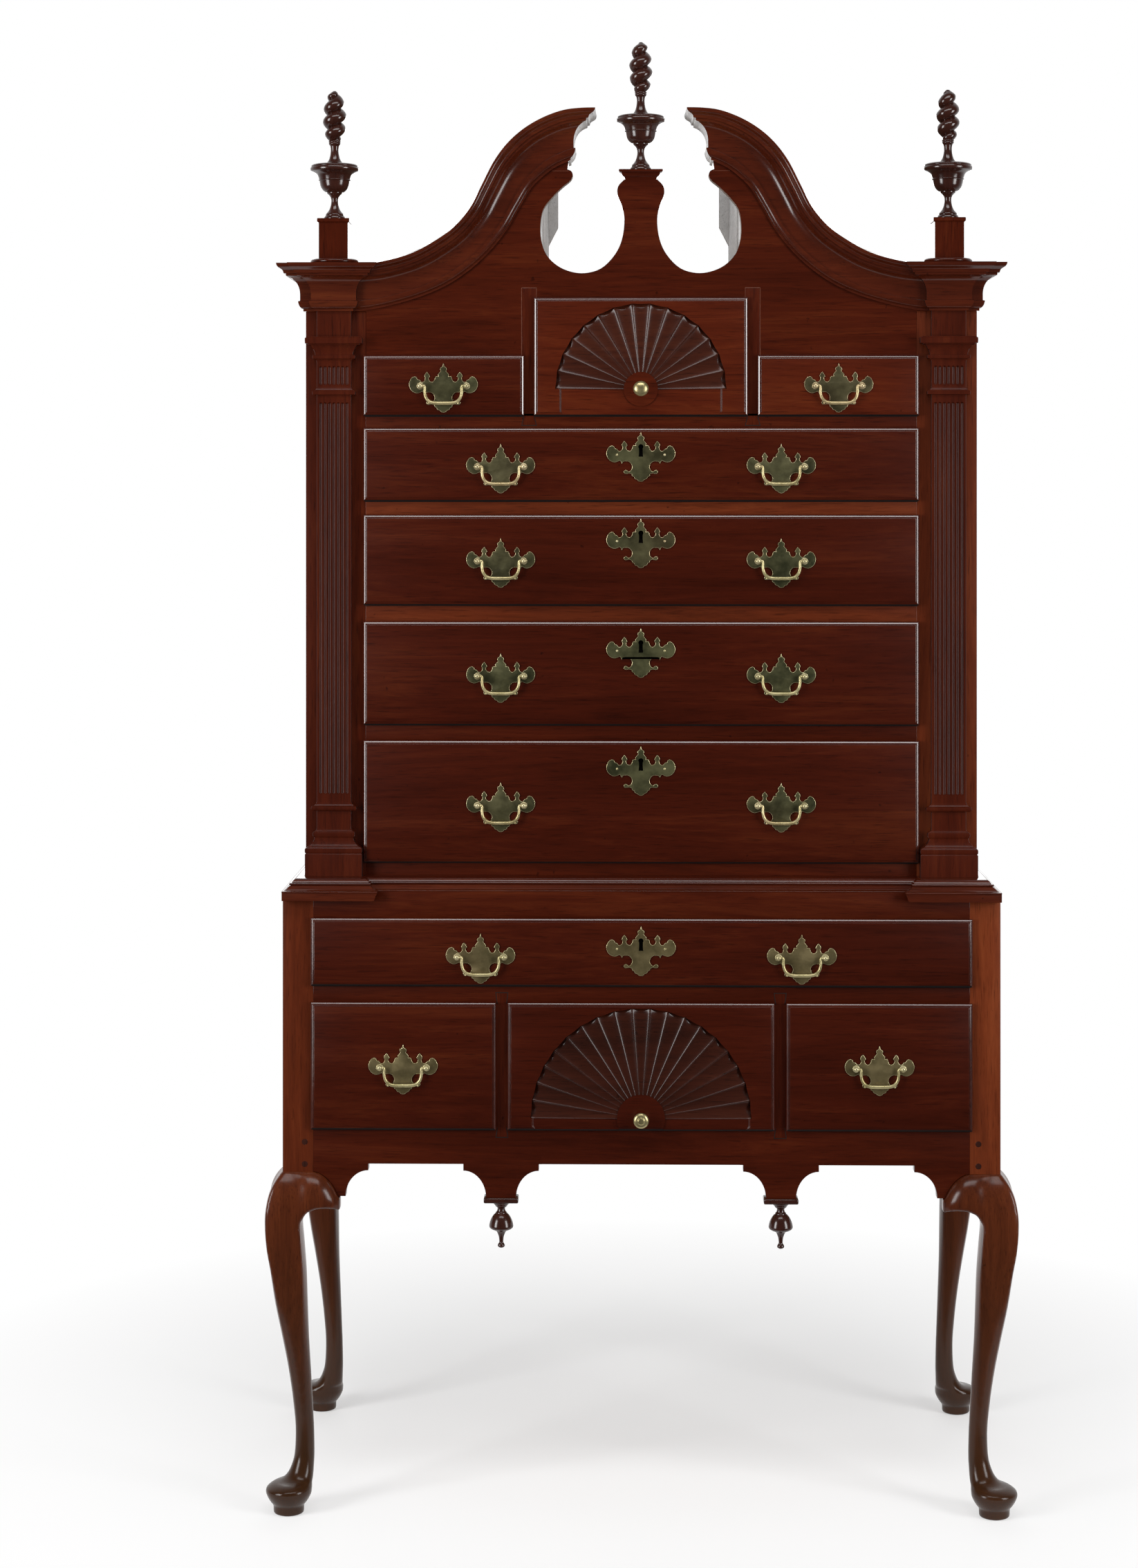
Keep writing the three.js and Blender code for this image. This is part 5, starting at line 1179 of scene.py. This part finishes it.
def waistShapes():
    w, foot = waist, case["lowerTop"]
    right = [(w["inner"], w["face"]), (w["inner"], w["plinth"]), (w["half"], w["plinth"]), (w["half"], case["depth"])]
    path = [(-x, y) for x, y in reversed(right)] + right
    shape = loft(mitredRings(path, len(path), waistProfile, w["reach"], foot, w["height"]))
    blocks = [frontPrism([(side * x, z) for x, z in w["fascia"]], w["fasciaFace"], 0.0, edge=0.4) for side in (-1, 1)]
    bmesh.ops.recalc_face_normals(shape, faces=shape.faces)
    sharp = [edge for edge in shape.edges if edge.calc_face_angle(0) > 0.6
             and abs(edge.verts[0].co.z - edge.verts[1].co.z) < 0.01 and edge.verts[0].co.z > foot + 1]
    for face in rounded(shape, sharp, w["wear"]):
        face.material_index = 1
    low, high = w["bead"]
    for face in shape.faces:
        height = (face.calc_center_median().z - foot) / w["height"]
        if low < height < high or height > w["step"]:
            face.material_index = 1
    return [shape, *blocks]


addPiece("waistMoulding", waistShapes(), [mouldWood, lipWood], ["waist_moulding"])
print("waist")

# Legs

leg = {
    "shares": [
        (0.034, 0.16, 0.28, 1), (0.05, 0.32, 0.68, 1), (0.071, 0.569, 0.934, 1), (0.084, 0.4, 0.93, 1),
        (0.098, -0.02, 0.945, 1), (0.127, -0.22, 0.96, 1), (0.168, -0.328, 0.975, 1), (0.232, -0.352, 0.96, 1),
        (0.315, -0.28, 0.92, 0.95), (0.412, -0.14, 0.87, 0.85), (0.509, 0.05, 0.82, 0.75),
        (0.614, 0.27, 0.79, 0.6), (0.711, 0.42, 0.76, 0.45), (0.791, 0.545, 0.70, 0.35),
        (0.864, 0.576, 0.64, 0.3), (0.916, 0.504, 0.72, 0.25), (0.961, 0.324, 0.88, 0.15), (1, 0.02, 1, 0.1),
    ],
    "sides": 40, "footInset": 8.4, "footRadius": 34.7, "footHeight": 44.0, "padRadius": 23.0, "padHeight": 14.0,
    "voxel": 1.9, "kneeFoot": 432.0, "peg": [(0, 0), (4.4, 0), (4.2, 0.5), (0, 0.7)], "pegX": 503.5,
    "pegs": (524.7, 557.8),
}


def legRing(z, outer, inner, roundness):
    centre, half = (inner - outer) / 2, (inner + outer) / 2
    ring = []
    for side in range(leg["sides"]):
        angle = tau * side / leg["sides"]
        c, s = cos(angle), sin(angle)
        reach = half * (roundness + (1 - roundness) / max(abs(c), abs(s)))
        ring.append((centre + reach * c, centre + reach * s, z))
    return ring


def kneeReturn(swap):
    foot, post = case["legTop"] - ear["height"], case["post"]
    rings = []
    for reach, top, bottom, front, back in smoothLine(ear["rows"], 4):
        x, y1 = reach * ear["reach"], back * post
        z0, z1 = foot + bottom * ear["height"], foot + top * ear["height"]
        ring = [(x, -front * out, z0 + (z1 - z0) * rise) for rise, out in ear["section"]]
        ring += [(x, 0, z1), (x, y1, z1), (x, y1, z0)]
        rings.append([(b, a, c) for a, b, c in ring] if swap else ring)
    return loft(rings)


def legShapes(isBack):
    rows = smoothLine(leg["shares"], 4)
    shank = loft([legRing(z * case["legTop"], outer * case["post"], inner * case["post"], roundness)
                  for z, outer, inner, roundness in rows])
    r, h, pad = leg["footRadius"], leg["footHeight"], leg["padRadius"]
    profile = [(0, 0.2), (pad - 2.2, 0.2), (pad - 0.4, 1.4), (pad, 3), (pad, leg["padHeight"] - 1.5),
               *smoothLine([(pad + 0.6, leg["padHeight"]), (0.76 * r, 0.38 * h), (0.88 * r, 0.52 * h),
                            (0.965 * r, 0.66 * h), (r, 0.755 * h)], 4),
               *smoothLine([(0.995 * r, 0.80 * h), (0.93 * r, 0.885 * h), (0.78 * r, 0.955 * h), (0.5 * r, h)], 4),
               (0, h)]
    foot = turned(profile, 56, standing(leg["footInset"], leg["footInset"], 0))
    parts = [shank, foot, *[kneeReturn(swap) for swap in ((True,) if isBack else (True, False))]]
    whole = applied(mergeShapes(parts), "REMESH", mode="VOXEL", voxel_size=leg["voxel"], adaptivity=0.0)
    knee = [vert for vert in whole.verts if vert.co.z > leg["kneeFoot"]]
    for verts in (whole.verts[:],) * 3 + (knee,) * 9:
        bmesh.ops.smooth_vert(whole, verts=verts, factor=0.5, use_axis_x=True, use_axis_y=True, use_axis_z=True)
    post = board(0, case["post"], 0, case["post"], case["legTop"] - 1.5, case["lowerTop"], 0.6, 2)
    return [whole, post]


for isBack in (False, True):
    for side, word in sides:
        shapes = legShapes(isBack)
        turn = Matrix.Diagonal((-side, -1 if isBack else 1, 1, 1))
        turn = standing(side * case["lowerHalf"], case["depth"] if isBack else 0, 0) @ turn
        for shape in shapes:
            bmesh.ops.transform(shape, matrix=turn, verts=shape.verts)
        if not isBack:
            shapes += [turned(leg["peg"], 18, facing(side * leg["pegX"], 0.0, z), 1) for z in leg["pegs"]]
        place = "back" if isBack else "front"
        addPiece(f"leg{place.title()}{word.title()}", shapes,
                 [legWood, turnedWood, postWood if side < 0 else sunnedWood], [f"leg_{place}_{word}"], angle=40)
print("legs")

# Turned drops

dropProfile = [
    (0, 0), *smoothLine([(2.6, 0.3), (5.0, 2.0), (5.4, 3.8), (4.6, 5.9), (3.3, 7.8), (3.0, 9.2)], 3),
    *smoothLine([(3.1, 11), (3.7, 16.3), (5.0, 20.3), (6.4, 23.5), (8.4, 25.9), (10.4, 26.9)], 4),
    *smoothLine([(12.0, 27.2), (14.7, 28.5), (17.3, 30.5), (18.1, 32.6), (17.8, 35.5), (16.6, 40.2), (14.9, 44.2),
                 (12.5, 48.2), (10.4, 50.6), (8.6, 52.2)], 4),
    *smoothLine([(8.3, 52.6), (8.2, 53.4), (7.2, 54.4)], 2),
    *smoothLine([(6.6, 55.2), (5.9, 57.0), (5.6, 59.4), (6.4, 61.0)], 3),
    *smoothLine([(8.2, 62.2), (9.3, 63.8), (9.6, 64.6)], 2),
    *smoothLine([(10.4, 65.2), (11.8, 66.6), (12.9, 68.5), (13.0, 70)], 3), (0, 70),
]

drop = {"x": 209.3, "y": 11, "foot": 397.9, "padHalf": 25.9, "pad": (-4.4, 26, 467.2, 475.2)}

for side, word in sides:
    x = side * drop["x"]
    pad = board(x - drop["padHalf"], x + drop["padHalf"], *drop["pad"], 1.9)
    addPiece(f"drop{word.title()}", [turned(dropProfile, 44, standing(x, drop["y"], drop["foot"])), pad],
             [turnedWood], [f"drop_{word}"], angle=50)

# Carcasses


runners = {
    "thick": 18, "guide": 20, "lowerTops": (581.1, 796.0), "lower": (456.5, 520, 491.5, 520, 46, 479),
    "lowerEnds": [(456.5, 490.5, 22, 46), (456.5, 490.5, 479, 515)],
    "lowerSmall": (179, 237.1, 197, 219.1, 22, 515, 581.1), "lowerDivider": (196, 220.1, 22, 515, 778, 796),
    "upperTops": (977.1, 1184.2, 1364.5, 1521.2, 1649.5), "upper": (380.5, 495, 415.5, 495, 53.5, 515),
    "upperSmall": (140.5, 196.1, 158.5, 178.1, 53.5, 515, 1649.5),
}


def runnerShapes(x0, x1, guide0, guide1, front, back, top):
    return [board(x0, x1, front, back, top - runners["thick"], top),
            board(guide0, guide1, front, back, top, top + runners["guide"])]


def bothSides(makeShapes):
    return makeShapes() + [mirrorShape(shape) for shape in makeShapes()]


def lowerSideShapes():
    edge = [*earTop(), *hollow(ear["reach"] + 0.3 + skirt["endRun"], skirt["flat"] - skirt["endDrop"], 1)]
    outline = [*edge, *[(case["depth"] - y, z) for y, z in reversed(edge)],
               (case["depth"] - case["post"], case["lowerTop"]), (case["post"], case["lowerTop"])]
    return [sidePrism(outline, case["lowerHalf"] - case["side"], case["lowerHalf"], edge=0.4)]


def lowerRunnerShapes():
    shapes = []
    for top in runners["lowerTops"]:
        shapes += runnerShapes(*runners["lower"], top)
        shapes += [board(*end, top - runners["thick"], top) for end in runners["lowerEnds"]]
    return [*shapes, *runnerShapes(*runners["lowerSmall"]), board(*runners["lowerDivider"])]


backSeam = {"half": 1.1, "depth": 2.5}
nailHead = [(0, 0), (2.6, 0), (2.3, 0.6), (0, 0.9)]


def nailShapes(places):
    turn = Matrix.Rotation(-pi / 2, 4, "X")
    return [turned(nailHead, 10, standing(x, case["depth"], z) @ turn, 1) for x, z in places]


def seamedBack(outline, seams, low, high):
    y0, y1, half = case["backFace"], case["depth"], backSeam["half"]
    cutters = [board(x - half, x + half, y1 - backSeam["depth"], y1 + 2, low, high, 0) for x in seams]
    whole = carve(frontPrism(outline, y0, y1, edge=0), mergeShapes(cutters))
    whole.normal_update()
    for face in whole.faces:
        middle = face.calc_center_median()
        plank = sum(middle.x > x for x in seams)
        face.material_index = 2 if middle.y < y0 + 0.1 else 3 * (plank % 2)
    return whole


addPiece("lowerSides", bothSides(lowerSideShapes), [lowerSideWood], ["lower_carcass"])
lowerOutline = [(-490.5, 525.4), (490.5, 525.4), (490.5, 933), (-490.5, 933)]
lowerNails = [(x, z) for x in range(-470, 480, 188) for z in (540, 730, 920)]
addPiece("lowerBack", [seamedBack(lowerOutline, (-160, 170), 520, 940), *nailShapes(lowerNails)],
         [backWood, oldIron, dustyWood, paleBoard], ())
lowerBoards = [(-520, 520, 46, 479, 921, 933), (-490.5, 490.5, 22, 46, 921, 933), (-490.5, 490.5, 479, 514, 921, 933)]
addPiece("lowerInside", [*bothSides(lowerRunnerShapes), *[board(*span) for span in lowerBoards]], [pineDeep], ())


def upperSideShapes():
    half = case["upperHalf"]
    return [board(half - case["side"], half, case["upperFaceBack"], case["depth"], case["lowerTop"], 1868, 0.4)]


def upperRunnerShapes():
    shapes = [shape for top in runners["upperTops"] for shape in runnerShapes(*runners["upper"], top)]
    return shapes + runnerShapes(*runners["upperSmall"])


roof = {"thick": 8, "front": 53.5, "back": 519, "wallFoot": 1842, "steps": 40}


def roofShapes():
    front, back, thick = roof["front"], roof["back"], roof["thick"]
    top = swanTop(-swan["wall"], roof["steps"])
    under = []
    for index, (x, z) in enumerate(top):
        before, after = Vector(top[max(index - 1, 0)]), Vector(top[min(index + 1, len(top) - 1)])
        step = (after - before).normalized()
        under.append((x + step.y * thick, z - step.x * thick))
    under[0] = (-case["upperHalf"], top[0][1] - thick)
    under[-1] = (top[-1][0], top[-1][1] - thick)
    wall = board(-swan["wall"] - thick, -swan["wall"], front, back, roof["wallFoot"], top[-1][1] - 3, 0.5, 1)
    return [frontPrism([*top, *reversed(under)], front, back, edge=0), wall]


def upperBackOutline():
    half, inner, rise = 0.895 * swan["wall"], swan["wall"], swan["rise"]
    left = [(-487.2, case["lowerTop"]), (-487.2, 1868.2), (-case["upperHalf"], 1868.2), *swanTop(-half, 40),
            (-half, case["stileTop"] + 0.732 * rise), (-inner, case["stileTop"] + 0.6 * rise),
            (-inner, case["dustBoard"])]
    return left + mirroredLine(left)


addPiece("upperSides", bothSides(upperSideShapes), [sideWood], ["upper_carcass"])
upperNails = [(x, z) for x in (-495, -340, -180, 0, 180, 340, 495) for z in (945, 1240, 1530, 1835)]
addPiece("upperBack", [seamedBack(upperBackOutline(), (-260, 20, 290), 925, 2110), *nailShapes(upperNails)],
         [backWood, oldIron, dustyWood, paleBoard], ())
upperBoards = [(-495, 495, 53.5, 519, 933, 951), (-495, 495, 53.5, 519, 1842, 1850)]
addPiece("upperInside", [*bothSides(upperRunnerShapes), *[board(*span) for span in upperBoards]], [pineDeep], ())
addPiece("bonnetRoof", bothSides(roofShapes), [roofWood, dustyWood], ())
print("carcasses")

# Floor, light and camera


stage = {
    "near": 0.27, "far": 2.2, "wide": 2.0, "middle": -0.22, "fade": (0.45, 1.35, 0.37, 1.0),
    "colour": (0.93, 0.925, 0.925, 1), "sweep": (-0.10, 0.6, 0.05, 1.0), "worldLevel": 0.30,
}
lamps = {
    "leftLight": ((-3.0, -2.3, 1.55), (0, 0, 1.2), (1.2, 2.3), 105),
    "rightLight": ((3.0, -2.3, 1.55), (0, 0, 1.2), (1.2, 2.3), 92),
    "topLight": ((0, -1.9, 3.75), (0, -0.1, 1.3), (2.8, 0.8), 42),
    "backLight": ((0, 2.9, 2.1), (0, 0.3, 1.5), (2.6, 1.0), 26),
}


# 1 for a ray from the camera, or one that metal or glass sends on
def seenShare(tree):
    path = addNode(tree, "ShaderNodeLightPath")
    most, output = path, "Is Camera Ray"
    for ray in ("Is Glossy Ray", "Is Transmission Ray"):
        most, output = fed(tree, most, output, "ShaderNodeMath", 0, operation="MAXIMUM"), 0
        link(tree, path, ray, most, 1)
    return most, path


def makeStage():
    material, tree, shader = newMaterial("stagePale")
    place = addNode(tree, "ShaderNodeTexCoord")
    fromBack = fed(tree, place, "Object", "ShaderNodeMapping", "Vector", Location=(0, stage["middle"], 0))
    distance = fed(tree, fromBack, "Vector", "ShaderNodeVectorMath", 0, operation="LENGTH")
    fade = rangeNode(tree, distance, "Value", stage["fade"])
    seen, _ = seenShare(tree)
    share = fed(tree, fade, "Result", "ShaderNodeMath", 0, operation="MULTIPLY")
    link(tree, seen, 0, share, 1)
    shader.inputs["Base Color"].default_value = stage["colour"]
    shader.inputs["Roughness"].default_value = 0.9
    shader.inputs["Specular IOR Level"].default_value = 0.1
    white = addNode(tree, "ShaderNodeEmission", Strength=1.0)
    blend = fed(tree, share, 0, "ShaderNodeMixShader", 0)
    link(tree, shader, "BSDF", blend, 1)
    link(tree, white, "Emission", blend, 2)
    surface = next(node for node in tree.nodes if node.type == "OUTPUT_MATERIAL")
    link(tree, blend, 0, surface, "Surface")
    shape = bmesh.new()
    near, far = frontY - stage["near"], stage["far"]
    place = Matrix.Translation((0, (near + far) / 2, 0)) @ Matrix.Diagonal((stage["wide"], (far - near) / 2, 1, 1))
    bmesh.ops.create_grid(shape, x_segments=1, y_segments=1, size=1, matrix=place)
    mesh = bpy.data.meshes.new("floorPlane")
    shape.to_mesh(mesh)
    shape.free()
    mesh.materials.append(material)
    placed("floorPlane", mesh)


def makeWorld():
    world = bpy.data.worlds.new("pale")
    bpy.context.scene.world = world
    world.use_nodes = True
    tree = world.node_tree
    tree.nodes.clear()
    # white all round for the camera; a white sweep behind and a dim room in front for reflections
    place = addNode(tree, "ShaderNodeTexCoord")
    ways = fed(tree, place, "Generated", "ShaderNodeSeparateXYZ", "Vector")
    sweep = rangeNode(tree, ways, "Y", stage["sweep"])
    seen, path = seenShare(tree)
    level = fed(tree, sweep, "Result", "ShaderNodeMath", 0, operation="MAXIMUM")
    link(tree, path, "Is Camera Ray", level, 1)
    lit = addNode(tree, "ShaderNodeBackground", Color=(1, 1, 1, 1), Strength=stage["worldLevel"])
    shown = fed(tree, level, 0, "ShaderNodeBackground", "Strength", Color=(1, 1, 1, 1))
    blend = fed(tree, seen, 0, "ShaderNodeMixShader", 0)
    link(tree, lit, "Background", blend, 1)
    link(tree, shown, "Background", blend, 2)
    fed(tree, blend, 0, "ShaderNodeOutputWorld", "Surface")


def addLight(name, place, target, size, power):
    light = bpy.data.lights.new(name, "AREA")
    light.shape = "RECTANGLE"
    light.size, light.size_y = size
    light.energy = power
    lamp = placed(name, light)
    lamp.location = place
    lamp.rotation_euler = (Vector(target) - Vector(place)).to_track_quat("-Z", "Y").to_euler()
    lamp.visible_camera = False


makeStage()
makeWorld()
for name, values in lamps.items():
    addLight(name, *values)

view = {"height": 36, "lens": 68.38, "shift": -0.1847, "clip": 60, "side": -0.0337, "away": 4.454, "up": 1.5276,
        "turn": 0.95}
camera = bpy.data.cameras.new("viewCamera")
camera.sensor_fit = "VERTICAL"
camera.sensor_height = view["height"]
camera.lens = view["lens"]
camera.shift_y = view["shift"]
camera.clip_end = view["clip"]
viewer = placed("viewCamera", camera)
viewer.location = (view["side"], frontY - view["away"], view["up"])
viewer.rotation_euler = (radians(90), 0, radians(view["turn"]))
bpy.context.scene.camera = viewer
bpy.context.scene.view_settings.view_transform = "Standard"
print("stage")
